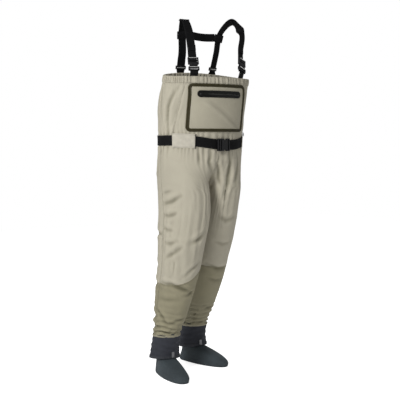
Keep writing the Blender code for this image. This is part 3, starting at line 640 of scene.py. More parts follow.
def sheet_patch(build, sheet, side, rows, cols, thick=CLOTH, slot=0):
    """A thick patch of the cloth between rows and between columns."""
    p = sheet.p[side][rows[0]:rows[1] + 1, cols[0]:cols[1] + 1]
    n = sheet.n[side][rows[0]:rows[1] + 1, cols[0]:cols[1] + 1]
    count = p.shape[0] * p.shape[1]
    ids = np.arange(count).reshape(p.shape[:2])
    outer = quads(ids, side)
    inner = outer[:, ::-1] + count
    border = np.concatenate([ids[0, :], ids[1:, -1], ids[-1, -2::-1], ids[-2:0:-1, 0]])
    after = np.roll(border, -1)
    rim = np.stack([border, border + count, after + count, after], -1)
    rim = rim if side < 0 else rim[:, ::-1]
    flat_n = n.reshape(-1, 3)
    points = np.concatenate([p.reshape(-1, 3), p.reshape(-1, 3) - flat_n * thick])
    s, z = sheet.s[side], sheet.z[side]
    uv = np.stack([s[rows[0]:rows[1] + 1, cols[0]:cols[1] + 1].ravel() * 0.6,
                   z[rows[0]:rows[1] + 1, cols[0]:cols[1] + 1].ravel()], -1)
    faces = np.concatenate([outer, inner, rim])
    slots = [slot] * len(outer) + [LINING] * len(inner) + [slot] * len(rim)
    fold = sheet.fold[side][rows[0]:rows[1] + 1, cols[0]:cols[1] + 1].ravel()
    build.add(points, faces, slots, np.concatenate([uv, uv]), np.concatenate([flat_n, -flat_n]),
              np.concatenate([fold, fold]))


def band_profile(width, height, count=7, sink=0.0006):
    """Half-round ends and a flat top: (across, out) pairs of a low raised band."""
    half = width / 2
    top = [(half * math.cos(math.pi * i / (count - 1)),
            height * math.sin(math.pi * i / (count - 1)) ** 0.45) for i in range(count)]
    return [(half, -sink)] + top[1:-1] + [(-half, -sink)]


def seam_band(build, sheet, track, slot, width=0.0075, height=0.0010, profile=None, closed=False):
    """Raised band along a track of (side, s, z) on the cloth."""
    spots = [sheet.skin(*spot) for spot in track]
    points = np.array([p for p, _ in spots])
    outs = np.array([n for _, n in spots])
    ahead = np.roll(points, -1, 0) - np.roll(points, 1, 0)
    if not closed:
        ahead[0], ahead[-1] = points[1] - points[0], points[-1] - points[-2]
    ahead /= np.maximum(np.linalg.norm(ahead, axis=1, keepdims=True), 1e-9)
    side = np.cross(ahead, outs)
    side /= np.maximum(np.linalg.norm(side, axis=1, keepdims=True), 1e-9)
    profile = profile or band_profile(width, height)
    rings = [[p + a * x + n * y for x, y in profile] for p, a, n in zip(points, side, outs)]
    loft(build, rings, slot, closed=closed)


# ---------------------------------------------------------------- materials

class Look:
    """A material being wired: short calls for adding and joining nodes."""

    def __init__(self, name):
        self.material = bpy.data.materials.new(name)
        self.material.use_nodes = True
        self.tree = self.material.node_tree
        self.shader = self.tree.nodes["Principled BSDF"]
        self.where = self.node("ShaderNodeTexCoord").outputs["Object"]

    def node(self, kind, settings=None, **inputs):
        node = self.tree.nodes.new(kind)
        for key, value in (settings or {}).items():
            setattr(node, key, value)
        for key, value in inputs.items():
            self.put(node.inputs[int(key[1:]) if key[1:].isdigit() else key], value)
        return node

    def put(self, socket, value):
        if hasattr(value, "is_output"):
            self.tree.links.new(value, socket)
        else:
            socket.default_value = value

    def math(self, what, a, b=0.0):
        return self.node("ShaderNodeMath", {"operation": what}, i0=a, i1=b).outputs[0]

    def times(self, a, b):
        return self.math("MULTIPLY", a, b)

    def plus(self, a, b):
        return self.math("ADD", a, b)

    def noise(self, scale, detail=2.0, rough=0.5, where=None, stretch=None):
        where = where or self.where
        if stretch:
            where = self.node("ShaderNodeMapping", i0=where, i3=stretch).outputs[0]
        node = self.node("ShaderNodeTexNoise", Vector=where, Scale=scale, Detail=detail, Roughness=rough)
        return node.outputs["Fac"]

    def wave(self, wavelength, axis, where=None, turn=None, distort=0.0):
        where = where or self.where
        if turn:
            where = self.node("ShaderNodeMapping", i0=where, i2=turn).outputs[0]
        node = self.node(
            "ShaderNodeTexWave", {"bands_direction": axis}, Vector=where,
            Scale=2 * math.pi / (20 * wavelength), Distortion=distort,
        )
        return node.outputs["Fac"]

    def ramp(self, value, low, high):
        """value mapped from low..high to 0..1."""
        node = self.node("ShaderNodeMapRange", i0=value, i1=low, i2=high)
        return node.outputs[0]

    def layer(self, tone, share, amount, over):
        """tone with another colour over it, as far as share times amount."""
        return self.mix(self.times(share, amount), tone, over)

    def mix(self, share, a, b):
        node = self.node("ShaderNodeMix", {"data_type": "RGBA"}, i0=share)
        self.put(node.inputs[6], (*a, 1.0) if isinstance(a, tuple) else a)
        self.put(node.inputs[7], (*b, 1.0) if isinstance(b, tuple) else b)
        return node.outputs[2]

    def bump(self, height, strength, distance, under=None):
        node = self.node("ShaderNodeBump", Height=height, Strength=strength, Distance=distance)
        if under is not None:
            self.put(node.inputs["Normal"], under)
        return node.outputs["Normal"]

    def crease(self):
        """Masks for painted shade and painted highlight: 0 on flat cloth, up to 1 in a sharp hollow, and its
        opposite on a sharp crest.
        """
        point = self.node("ShaderNodeNewGeometry").outputs["Pointiness"]
        return self.ramp(point, 0.5, 0.44), self.ramp(point, 0.5, 0.57)

    def end(self, colour, roughness, normal=None, sheen=0.0, metallic=0.0, tint=(1, 1, 1), specular=0.5):
        self.put(self.shader.inputs["Specular IOR Level"], specular)
        self.put(self.shader.inputs["Base Color"], colour)
        self.put(self.shader.inputs["Roughness"], roughness)
        self.put(self.shader.inputs["Metallic"], metallic)
        self.put(self.shader.inputs["Sheen Weight"], sheen)
        self.put(self.shader.inputs["Sheen Roughness"], 0.45)
        self.put(self.shader.inputs["Sheen Tint"], (*tint, 1.0))
        if normal is not None:
            self.put(self.shader.inputs["Normal"], normal)
        return self.material


def shade(colour, factor):
    return tuple(c * factor for c in colour)


def tinted(colour, factor):
    """Shadow tone of the cloth, a little greener than the lit one."""
    return (colour[0] * factor, colour[1] * factor * 1.02, colour[2] * factor * 0.80)


def woven(name, colour, yarn=0.0011, sheen=0.18, rough=0.82, fold=0.80, puff=0.0016):
    """Laminated shell cloth: a fine twill, heathered yarn, slow tone changes, painted shade in the creases and
    fold valleys and painted highlight on the crests and ridges.
    """
    k = Look(name)
    heather = k.noise(750, 2.0, 0.7)
    slow = k.noise(5.5, 3.0, 0.55)
    patchy = k.noise(38, 4.0, 0.6)
    tone = k.mix(k.ramp(slow, 0.35, 0.68), shade(colour, 0.93), shade(colour, 1.06))
    tone = k.layer(tone, k.ramp(patchy, 0.45, 0.75), 0.35, shade(colour, 0.90))
    tone = k.layer(tone, k.ramp(heather, 0.42, 0.70), 0.30, shade(colour, 1.18))
    # painted shade in sharp hollows and painted highlight on sharp crests, taken from the mesh's pointiness
    hollow_shade, crest_highlight = k.crease()
    tone = k.layer(tone, hollow_shade, 0.55, shade(colour, fold * 0.72))
    tone = k.layer(tone, crest_highlight, 0.30, shade(colour, 1.12))
    # painted shade in the fold valleys and between the thighs, and painted highlight on the fold ridges, taken
    # from the stored fold depth
    depth = k.node("ShaderNodeAttribute", {"attribute_name": "fold"}).outputs["Fac"]
    tone = k.layer(tone, k.ramp(depth, -0.0003, -0.0060), 0.62, tinted(colour, 0.34))
    tone = k.layer(tone, k.ramp(depth, 0.0004, 0.0035), 0.30, shade(colour, 1.22))
    twill = k.wave(yarn, "X", turn=(0.0, math.radians(27), math.radians(38)))
    cross = k.wave(yarn * 0.8, "Z")
    cloth = k.plus(k.times(twill, 0.6), k.times(cross, 0.4))
    drape_ = k.plus(k.noise(34, 3.0, 0.55), k.times(k.noise(110, 3.0, 0.6), 0.35))
    normal = k.bump(drape_, 0.55, puff)
    normal = k.bump(cloth, 0.22, 0.00025, normal)
    return k.end(tone, k.plus(k.times(slow, 0.12), rough - 0.06), normal,
                 sheen, tint=shade(colour, 1.6))


def stitched(name, colour, lines, pitch=0.0032, thread=None, rough=0.8):
    """Cloth band with rows of stitching at the given distances across it."""
    k = Look(name)
    thread = thread or shade(colour, 0.62)
    uv = k.node("ShaderNodeUVMap").outputs[0]
    parts = k.node("ShaderNodeSeparateXYZ", i0=uv)
    along, across = parts.outputs[0], parts.outputs[1]
    beat = k.math("FRACT", k.math("DIVIDE", along, pitch))
    dash = k.math("LESS_THAN", k.math("ABSOLUTE", k.math("SUBTRACT", beat, 0.5)), 0.33)
    row = 0.0
    for line in lines:
        near = k.math("LESS_THAN", k.math("ABSOLUTE", k.math("SUBTRACT", across, line)), 0.00045)
        row = k.math("MAXIMUM", row, near)
    stitch = k.times(dash, row)
    tone = k.mix(k.ramp(k.noise(60, 3.0), 0.4, 0.7), shade(colour, 0.94), shade(colour, 1.07))
    tone = k.layer(tone, row, 0.35, shade(colour, 0.66))
    tone = k.mix(stitch, tone, thread)
    twill = k.wave(0.0010, "X", turn=(0.0, math.radians(27), math.radians(38)))
    relief = k.plus(k.times(twill, 0.25), k.math("SUBTRACT", stitch, row))
    pucker = k.bump(k.noise(160, 2.0), 0.45, 0.0012)
    return k.end(tone, rough, k.bump(relief, 0.5, 0.0005, pucker), 0.15, tint=shade(colour, 1.5))


def webbing(name, colour=(0.0018, 0.0018, 0.002)):
    """Ribbed woven webbing: cross ribs, a herringbone of yarns and lighter edges, a painted highlight."""
    k = Look(name)
    uv = k.node("ShaderNodeUVMap").outputs[0]
    ribs = k.wave(0.0021, "X", where=uv)
    rows = k.wave(0.0034, "Y", where=uv)
    fuzz = k.noise(900, 2.0)
    weft = k.times(ribs, k.plus(0.55, k.times(rows, 0.45)))
    _, crest_highlight = k.crease()
    tone = k.layer(colour, weft, 0.55, shade(colour, 3.2))
    tone = k.layer(tone, k.ramp(k.noise(26, 3.0), 0.5, 0.75), 0.35, shade(colour, 3.6))
    # painted highlight on the webbing's edges and crests
    tone = k.layer(tone, crest_highlight, 0.5, shade(colour, 6.0))
    relief = k.plus(weft, k.times(fuzz, 0.25))
    return k.end(tone, k.plus(0.60, k.times(fuzz, 0.2)),
                 k.bump(relief, 0.55, 0.0006), 0.0, specular=0.12)


def foam_rubber(name, colour, grain=900, rough=0.86, sheen=0.22):
    """Knit-faced neoprene: a fine jersey, dusty tone changes, painted highlight on the crests and painted shade in
    the hollows.
    """
    k = Look(name)
    jersey = k.times(k.wave(0.0016, "X", turn=(0, 0, 0.5)), k.wave(0.0012, "Z", distort=1.2))
    speck = k.noise(grain, 2.0, 0.7)
    slow = k.noise(16, 4.0, 0.6)
    tone = k.mix(k.ramp(slow, 0.35, 0.7), shade(colour, 0.82), shade(colour, 1.22))
    tone = k.layer(tone, k.ramp(speck, 0.45, 0.7), 0.4, shade(colour, 1.6))
    hollow_shade, crest_highlight = k.crease()
    # painted highlight on crests and painted shade in hollows
    tone = k.layer(tone, crest_highlight, 0.45, shade(colour, 1.7))
    tone = k.layer(tone, hollow_shade, 0.5, shade(colour, 0.6))
    relief = k.plus(jersey, k.times(speck, 0.5))
    dents = k.bump(k.noise(55, 3.0), 0.35, 0.0014)
    return k.end(tone, rough, k.bump(relief, 0.25, 0.00035, dents), sheen, tint=shade(colour, 4.0))


def moulded_plastic(name, colour=(0.004, 0.004, 0.0045), rough=0.40):
    """Injection-moulded plastic: fine spark texture, soft flow marks and lighter edges, a painted highlight."""
    k = Look(name)
    grain, flow = k.noise(1500, 2.0, 0.6), k.noise(70, 3.0, 0.6)
    _, crest_highlight = k.crease()
    tone = k.mix(k.ramp(flow, 0.4, 0.7), colour, shade(colour, 1.8))
    # painted highlight on the sharp edges
    tone = k.layer(tone, crest_highlight, 0.6, shade(colour, 7.0))
    wear = k.plus(rough, k.times(k.ramp(flow, 0.45, 0.7), 0.16))
    return k.end(tone, wear, k.bump(grain, 0.18, 0.0002), specular=0.25)


def satin_metal(name, colour=(0.62, 0.62, 0.60), rough=0.30):
    k = Look(name)
    brushed = k.noise(420, 3.0, 0.6, stretch=(1.0, 1.0, 0.12))
    spots = k.noise(240, 3.0, 0.7)
    tone = k.layer(colour, k.ramp(spots, 0.55, 0.75), 0.4, shade(colour, 0.6))
    worn = k.plus(rough, k.times(brushed, 0.18))
    return k.end(tone, worn, k.bump(brushed, 0.12, 0.0002), metallic=1.0)


def welded_film(name, colour, rough=0.48):
    """Welded film tape: smooth, with a faint pressed grid, dusty streaks, painted highlight on the crests and
    painted shade in the hollows.
    """
    k = Look(name)
    grid = k.times(k.wave(0.0018, "X"), k.wave(0.0018, "Z"))
    streak = k.noise(45, 4.0, 0.6, stretch=(1.0, 1.0, 0.4))
    hollow_shade, crest_highlight = k.crease()
    tone = k.mix(k.ramp(streak, 0.4, 0.72), colour, shade(colour, 1.7))
    # painted highlight on the crests and painted shade in the hollows
    tone = k.layer(tone, crest_highlight, 0.55, shade(colour, 2.6))
    tone = k.layer(tone, hollow_shade, 0.6, shade(colour, 0.5))
    relief = k.plus(k.times(grid, 0.5), k.noise(420, 2.0))
    return k.end(tone, k.plus(rough, k.times(streak, 0.15)),
                 k.bump(relief, 0.16, 0.0003), specular=0.2)


LIGHT = (0.372, 0.345, 0.272)
DARK = (0.236, 0.216, 0.142)
INSIDE = (0.052, 0.051, 0.034)
MATERIALS = {
    "light": woven("shell_cloth_light", LIGHT),
    "dark": woven("shell_cloth_dark", DARK, yarn=0.0013),
    "pocket": woven("pocket_cloth", (0.345, 0.320, 0.246), puff=0.0008),
    "inside": woven("inside_coating", INSIDE, sheen=0.0, rough=0.7),
    "seam": stitched("seam_band_light", shade(LIGHT, 0.93), (0.0022, 0.0060)),
    "seam_dark": stitched("seam_band_dark", shade(DARK, 0.93), (0.0022, 0.0060)),
    "hem": stitched("hem_cloth", shade(LIGHT, 0.96), (0.0030, 0.0300)),
    "cuff": stitched("leg_end_band", (0.285, 0.262, 0.185), (0.0022, 0.0072)),
    "foot": foam_rubber("neoprene_foot", (0.030, 0.040, 0.046)),
    "guard": foam_rubber("guard_knit", (0.020, 0.022, 0.030), grain=700),
    "guard_hem": stitched("guard_hem", (0.022, 0.024, 0.031), (0.0028, 0.0092), thread=(0.06, 0.065, 0.075)),
    "webbing": webbing("shoulder_webbing"),
    "belt": webbing("belt_webbing_look", (0.0022, 0.0022, 0.0024)),
    "plastic": moulded_plastic("black_plastic"),
    # the bars' light metal colour is a painted highlight: the slider and buckle bars are made light to stand for
    # the highlight on them
    "bar": satin_metal("slider_bar_metal", (0.70, 0.70, 0.68), 0.34),
    "metal": satin_metal("hook_metal", (0.22, 0.22, 0.23), 0.42),
    "trim": welded_film("pocket_weld", (0.021, 0.0175, 0.0060)),
    "zip": welded_film("zip_film", (0.0022, 0.0022, 0.0016), 0.46),
    "teeth": moulded_plastic("zip_coil", (0.010, 0.010, 0.009), 0.30),
    "patch": stitched("belt_patch_cloth", (0.440, 0.412, 0.345), (0.003, 0.058), thread=(0.30, 0.28, 0.22)),
    "loop": stitched("belt_loop_cloth", shade(LIGHT, 0.85), (0.003, 0.058)),
}


# ---------------------------------------------------------------- garment pieces

def grid_track(sheet, side, col, rows, step=2):
    """Track down one column of the grid."""
    out = []
    for r in list(range(rows[0], rows[1], step)) + [rows[1]]:
        out.append((side, float(sheet.s[side][r, col]), float(sheet.z[side][r, col]), 0.0))
    return out


def build_bib(sheet, mark):
    end = sheet.s[-1].shape[1] - 1
    spans = {
        "front_bib_cloth": [(-1, 0, mark["front"]), (1, 0, mark["front"])],
        "right_side_bib_cloth": [(-1, mark["front"], mark["back"])],
        "left_side_bib_cloth": [(1, mark["front"], mark["back"])],
        "back_bib_cloth": [(-1, mark["back"], end), (1, mark["back"], end)],
    }
    rows = (mark["hem"] - 2, mark["waist"])
    for name, patches in spans.items():
        build = Build()
        for side, low, high in patches:
            sheet_patch(build, sheet, side, rows, (low, high))
            for col in (low, high):
                if (col, name[:5]) in ((mark["front"], "front"), (mark["back"], "back_")):
                    seam_band(build, sheet, grid_track(sheet, side, col, rows), 1)
        piece(build, name, ["light", "seam", "inside"], [name.replace("cloth", "panel")],
              "waders_body")


def hem_ring(sheet, phi, extra):
    """One section of the gathered hem: outer wall, rolled top, inner wall."""
    turn = (phi + math.pi) % (2 * math.pi) - math.pi
    side, s = (1 if turn >= 0 else -1), abs(turn) / math.pi
    rows, cols = sheet.s[side].shape
    col = float(np.interp(s, sheet.s[side][0], np.arange(cols)))
    tall = ROWS["hem"] * 2
    ring = []
    outer = [(1.06, 0.0003), (1.02, 0.0011), (0.9, 0.0014), (0.72, 0.0017), (0.5, 0.0020), (0.3, 0.0020),
             (0.14, 0.0018), (0.04, 0.0012)]
    inner = [(-0.02, 0.0002), (0.02, -0.0018), (0.2, -0.0026), (0.6, -0.0030), (0.92, -0.0028),
             (1.03, -0.0014)]
    for t, off in outer + inner:
        p = sample(sheet.p[side], max(t, 0) * tall, col)
        n = sample(sheet.n[side], max(t, 0) * tall, col)
        n = n / np.linalg.norm(n)
        swell = math.sin(math.pi * min(max(t, 0), 1)) ** 0.6
        p = p + n * (off + extra * (0.35 + 0.65 * swell))
        ring.append(p + np.array((0, 0, 0.0012 if t < 0.05 else 0.0)))
    return ring


def build_hem(sheet, count=420):
    build, rings = Build(), []
    for i in range(count):
        phi = 2 * math.pi * i / count
        crinkle = math.sin(phi * 71 + 5 * float(waves(np.array(phi * 5), np.array(0.0), 21)))
        fine = math.sin(phi * 113 + 3 * float(waves(np.array(phi * 8), np.array(0.0), 22)))
        rings.append(hem_ring(sheet, phi, 0.0019 * crinkle + 0.0009 * fine))
    loft(build, rings, 0, closed=True)
    piece(build, "chest_hem_cloth", ["hem"], ["chest_hem", "chest_elastic"], "waders_body")


def build_legs(sheet, mark):
    end = sheet.s[-1].shape[1] - 1
    mid = mark["side"]
    for side, name in NAMES.items():
        outs = {"front": (0, mid), "back": (mid, end)}
        for half, cols in outs.items():
            build = Build()
            sheet_patch(build, sheet, side, (mark["waist"], mark["mid"]), cols)
            seams = [(mid, (mark["waist"], mark["mid"]))] if half == "front" else []
            seams += [(0 if half == "front" else end, (mark["waist"], mark["crotch"]))] if side < 0 else []
            seams += [(0, (mark["crotch"], mark["mid"]))] if half == "front" else []
            for col, rows in seams:
                seam_band(build, sheet, grid_track(sheet, side, col, rows), 1)
            part = f"{name}_{half}"
            bend_hip(made(build, f"{part}_hip_cloth", SHELL, [f"{part}_hip_panel", f"{part}_thigh_panel"]))
            build = Build()
            sheet_patch(build, sheet, side, (mark["mid"], mark["knee"]), cols)
            if half == "front":
                for col in (0, mid):
                    seam_band(build, sheet, grid_track(sheet, side, col, (mark["mid"], mark["knee"])), 1)
            bend_knee(made(build, f"{part}_thigh_cloth", SHELL, [f"{part}_thigh_panel"]))
        build_lower_leg(sheet, mark, side, name, end, mid)


def build_lower_leg(sheet, mark, side, name, end, mid):
    build = Build()
    last = sheet.s[side].shape[0] - 1
    sheet_patch(build, sheet, side, (mark["knee"], last), (0, mid))
    sheet_patch(build, sheet, side, (mark["knee"], last), (mid, end))
    for col in (0, mid):
        seam_band(build, sheet, grid_track(sheet, side, col, (mark["knee"], last)), 1)
    row_s, row_z = sheet.s[side][mark["knee"]], sheet.z[side][mark["knee"]]
    knee = [(side, float(row_s[c]), float(row_z[c]), 0.0) for c in range(0, end, 2)]
    seam_band(build, sheet, knee, 1, closed=True)
    cuff = [(side, float(sheet.s[side][last, c]), LEG_END + 0.0048, 0.0002) for c in range(0, end, 2)]
    seam_band(build, sheet, cuff, 3, closed=True, profile=band_profile(0.0098, 0.0021, sink=0.0010))
    looks = ("dark", "seam_dark", "inside", "cuff")
    bend_knee(made(build, f"{name}_lower_leg_cloth", looks, [f"{name}_knee_panel", f"{name}_lower_leg"]))


def bend_hip(obj):
    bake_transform(obj)


def bend_at(obj):
    """Bakes the piece's placement into its mesh; it is not blended between bodies."""
    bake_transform(obj)


def bend_knee(obj):
    bend_at(obj)


# ---------------------------------------------------------------- gravel guards and feet

FOOT_LEN, FOOT_WIDE, HEEL_BACK = 0.290, 0.099, 0.074
TOE_OUT = {-1: math.radians(6), 1: math.radians(17)}
SOLE, ANKLE_Z, GUARD_LOW, GUARD_IN = 0.0055, 0.095, 0.083, 0.193
GUARD_HEM = ((0.0, -0.001), (-0.004, 0.0008), (0.03, 0.0015), (0.10, 0.0016), (0.125, 0.0009), (0.13, -0.001))


def guard_off(side, turn, t):
    """Flare of the guard with its soft dents; t is 0 at the low edge and 1 at the top."""
    flare = 0.0142 * (1 - t) ** 1.15 + 0.0002 * t
    a = 2 * math.pi * turn
    dents = 0.0024 * math.sin(3 * a + 4 * t + side) + 0.0018 * math.sin(5 * a - 7 * t + 2 * side)
    folds = 0.0016 * math.sin(26 * t + 2.2 * math.sin(2 * a + side)) * math.sin(math.pi * t)
    return flare + (dents * (1 - 0.75 * t) + folds) * min(1.0, (1 - t) * 5)


def guard_ring(side, t, wall, count, lip=0.0):
    ring = []
    for i in range(count):
        turn = i / count
        droop = 0.0016 * math.sin(4 * math.pi * turn + side) * (1 - t)
        z = GUARD_LOW + (GUARD_IN - GUARD_LOW) * t - droop
        off = guard_off(side, turn, t) + lip
        ring.append(shell_point(side, turn, z, off - wall))
    return ring


def shell_point(side, turn, z, off):
    """Point of a leg ring pushed straight away from the leg's centre line."""
    p = outline(side, np.array(turn), np.array(max(z, 0.02)))
    c = np.array((side * at(LEG_X, z, LEG_Z), at(LEG_Y[side], z, LEG_Z) + HIP_Y, z))
    out = (p - c) * np.array((1, 1, 0))
    return np.array((p[0], p[1], z)) + out / np.linalg.norm(out) * off


def build_guard(side, name, count=72):
    build = Build()
    steps = np.linspace(0.0, 1.0, 25)
    outer = [guard_ring(side, t, 0.0, count) for t in steps]
    inner = [guard_ring(side, t, 0.0026, count) for t in steps]
    roll = guard_ring(side, 0.0, 0.0013, count)
    roll = [p - np.array((0, 0, 0.0014)) for p in roll]
    loft(build, inner[::-1] + [roll] + outer, 0, caps=False, flip=side > 0)
    rings = []
    for i in range(count):
        ring = []
        for t, lip in GUARD_HEM:
            turn = i / count
            droop = 0.0016 * math.sin(4 * math.pi * turn + side) * (1 - t)
            z = GUARD_LOW + (GUARD_IN - GUARD_LOW) * t - droop
            ring.append(shell_point(side, turn, z, guard_off(side, turn, max(t, 0)) + lip))
        rings.append(ring)
    loft(build, rings, 1, closed=True)
    obj = made(build, f"{name}_gravel_guard_cloth", ("guard", "guard_hem"), [f"{name}_gravel_guard"])
    bend_at(obj)


def foot_outline(turn, length, width, heel):
    y, bend = math.cos(turn), math.sin(turn)
    taper = 0.90 - 0.10 * y - 0.12 * max(y, 0) ** 2
    x = width * taper * math.copysign(abs(bend) ** 0.80, bend)
    return x, heel - length / 2 + y * length / 2


def foot_point(side, turn, level, off=0.0):
    """Level 0 is the sole edge and level 1 the ankle opening."""
    ankle = JOINTS[f"{NAMES[side]}_ankle"]["pos_m"]
    z = SOLE + level * (ANKLE_Z - 0.010 - SOLE)
    grow = math.sin(min(level / 0.35, 1) * math.pi / 2)
    close = max(level - 0.12, 0) / 0.88
    toe = close ** 1.65
    length = FOOT_LEN * (0.985 + 0.015 * grow) * (1 - toe) + 0.098 * toe
    width = FOOT_WIDE / 2 * (0.96 + 0.06 * grow) * (1 - close) + 0.044 * close
    heel = HEEL_BACK * (1 - close) + 0.050 * close
    x, y = foot_outline(turn, length - 2 * off, width, heel - off)
    size = math.hypot(x, y) or 1
    x -= off * x / size
    dent = 0.0010 * math.sin(9 * level + 3 * turn + side) * math.sin(math.pi * min(level, 1))
    x += dent * x / size
    y += dent * y / size
    c, s = math.cos(side * TOE_OUT[side]), math.sin(side * TOE_OUT[side])
    return np.array((ankle[0] + x * c - y * s, ankle[1] + x * s + y * c, z))


def build_foot(side, name, count=72):
    build = Build()
    turns = [2 * math.pi * i / count for i in range(count)]
    rings = []
    for z, off in ((0.0, 0.030), (0.0, 0.012), (0.0, 0.0060), (0.0006, 0.0034), (0.0022, 0.0012)):
        ring = [foot_point(side, t, 0.0, off) for t in turns]
        rings.append([np.array((p[0], p[1], z)) for p in ring])
    for level in np.linspace(0, 1, 30) ** 1.05:
        ridge = 0.0009 * math.exp(-((level - 0.035) / 0.018) ** 2)
        rings.append([foot_point(side, t, level, -ridge) for t in turns])
    for level in (1.0, 0.8, 0.6):
        rings.append([foot_point(side, t, level, 0.0042) for t in turns])
    loft(build, rings, 0)
    piece(build, f"{name}_stocking_foot_shell", ["foot"], [f"{name}_stocking_foot", f"{name}_foot_sole"],
          f"{name}_foot")
    build = Build()
    rings = []
    for inside in (False, True):
        heights = np.linspace(0.084, 0.198, 14)
        for z in (heights[::-1] if inside else heights):
            t = (z - 0.084) / 0.114
            off = -0.0043 + 0.0016 * t - (0.003 if inside else 0.0)
            rings.append([shell_point(side, i / 48, z, off + 0.0007 * math.sin(60 * z + 2 * math.pi * i / 24))
                          for i in range(48)])
    loft(build, rings + [rings[0]], 0, caps=False, flip=side > 0)
    obj = made(build, f"{name}_ankle_sleeve", ("foot",), [f"{name}_foot_ankle"])
    bend_at(obj)


# ---------------------------------------------------------------- pocket

POCKET_X, POCKET_LOW, POCKET_TOP, POCKET_R, TRIM = 0.148, 1.106, 1.312, 0.020, 0.013
ZIP_Z, ZIP_R, ZIP_HALF = 1.268, 0.335, math.radians(19.5)
TOOTH = ((-0.0018, 0.0004), (-0.0012, 0.0008), (0.0, 0.0009), (0.0014, 0.0008), (0.0020, 0.0004))
COIL_TAPE = ((-0.0028, 0.0064), (-0.0026, 0.0074), (0.0026, 0.0074), (0.0028, 0.0064))


def front_phi(x, z):
    return math.asin(max(-0.999, min(0.999, x / float(at(TORSO_A, z, TORSO_Z)))))


def pocket_off(x, z):
    """How far the pocket's face stands off the bib: a soft belly with a slanting crease."""
    u = 1 - abs(x / (POCKET_X - TRIM)) ** 3
    v = (z - POCKET_LOW - TRIM) / (POCKET_TOP - POCKET_LOW - 2 * TRIM)
    belly = 0.0026 * max(u, 0) * max(math.sin(math.pi * min(max(v, 0), 1)), 0) ** 0.7
    run = (x + 0.098) * 0.56 + (z - 1.252) * 0.83
    reach = smooth((x + 0.105) / 0.05) * smooth((1.262 - z) / 0.04) * smooth((z - 1.112) / 0.03)
    ridge, valley = math.exp(-(run / 0.010) ** 2), math.exp(-((run - 0.022) / 0.014) ** 2)
    return 0.0030 + belly + float((0.0028 * ridge - 0.0024 * valley) * reach)


def base_torso(phi, z, off):
    """Point on the undraped torso, moved level and square to it."""
    a, b, cy = (float(at(t, z, TORSO_Z)) for t in (TORSO_A, TORSO_B, TORSO_Y))
    nx, ny = math.sin(phi) / a, -math.cos(phi) / b
    size = math.hypot(nx, ny)
    x, y = a * math.sin(phi) + off * nx / size, cy - b * math.cos(phi) + off * ny / size
    return np.array((x, y + HIP_Y, z))


def pocket_point(x, z, off=0.0):
    return base_torso(front_phi(x, z), z, pocket_off(x, z) + off)


def rounded_path(inset):
    """Points of the pocket's rounded edge, moved inward by inset."""
    wide, low, high = POCKET_X - inset, POCKET_LOW + inset, POCKET_TOP - inset
    radius = max(POCKET_R - inset, 0.008)
    corners = ((wide - radius, high - radius, 0), (-wide + radius, high - radius, 90),
               (-wide + radius, low + radius, 180), (wide - radius, low + radius, 270))
    path = []
    for cx, cz, start in corners:
        for k in range(9):
            a = math.radians(start + 90 * k / 8)
            path.append((cx + radius * math.cos(a), cz + radius * math.sin(a)))
    return path


def even_pairs(inset, step=0.005):
    """Matching points of the outer edge and of the edge moved inward."""
    outer, inner, pairs = rounded_path(0.0), rounded_path(inset), []
    for i in range(len(outer)):
        j = (i + 1) % len(outer)
        n = max(int(math.dist(outer[i], outer[j]) / step), 1)
        for k in range(n):
            t = k / n
            pairs.append([tuple(p[i][c] + (p[j][c] - p[i][c]) * t for c in (0, 1)) for p in (outer, inner)])
    return pairs


def build_pocket():
    build = Build()
    rows, cols, points, uv = 56, 80, [], []
    for i in range(rows):
        z = POCKET_LOW + 0.006 + (POCKET_TOP - POCKET_LOW - 0.012) * i / (rows - 1)
        cut = max(POCKET_R - min(z - POCKET_LOW, POCKET_TOP - z), 0)
        wide = POCKET_X - 0.006 - (POCKET_R - math.sqrt(max(POCKET_R ** 2 - cut ** 2, 0)))
        for j in range(cols):
            x = -wide + 2 * wide * j / (cols - 1)
            points.append(pocket_point(x, z))
            uv.append((x, z))
    ids = np.arange(rows * cols).reshape(rows, cols)
    face = quads(ids, -1)[:, ::-1]
    back = [p + np.array((0, 0.0012, 0)) for p in points]
    border = np.concatenate([ids[0, :], ids[1:, -1], ids[-1, -2::-1], ids[-2:0:-1, 0]])
    after = np.roll(border, -1)
    rim = np.stack([border, border + rows * cols, after + rows * cols, after], -1)[:, ::-1]
    faces = np.concatenate([face, face[:, ::-1] + rows * cols, rim])
    build.add(points + back, faces, 0, uv + uv)
    piece(build, "chest_pocket_cloth", ["pocket"], ["pocket_panel"], "waders_body")
    build_trim()
    build_zip()


def build_trim():
    """Welded tape round the pocket: two raised lines with a shallow channel between them."""
    build, rings = Build(), []
    profile = ((-0.03, 0.0008), (0.0, 0.0022), (0.10, 0.0036), (0.20, 0.0040), (0.32, 0.0034), (0.42, 0.0024),
               (0.58, 0.0024), (0.68, 0.0033), (0.80, 0.0038), (0.90, 0.0034), (1.0, 0.0020), (1.03, 0.0004))
    for (x0, z0), (x1, z1) in even_pairs(TRIM):
        ring = []
        for t, high in profile:
            x, z = x0 + (x1 - x0) * t, z0 + (z1 - z0) * t
            ring.append(base_torso(front_phi(x, z), z, 0.0022 + high))
        ring += [base_torso(front_phi(x, z), z, 0.0012) for x, z in ((x1, z1), (x0, z0))]
        rings.append(ring)
    loft(build, rings, 0, closed=True, flip=True)
    piece(build, "pocket_weld_tape", ["trim"], ["pocket_trim"], "waders_body")


def zip_centre():
    return float(base_torso(0.0, ZIP_Z, 0.0)[1]) + ZIP_R


def zip_spot(x, z, off):
    """Point on the zip's arc, x metres along it."""
    a, r = x / ZIP_R, ZIP_R + off
    return np.array((r * math.sin(a), zip_centre() - r * math.cos(a), z))


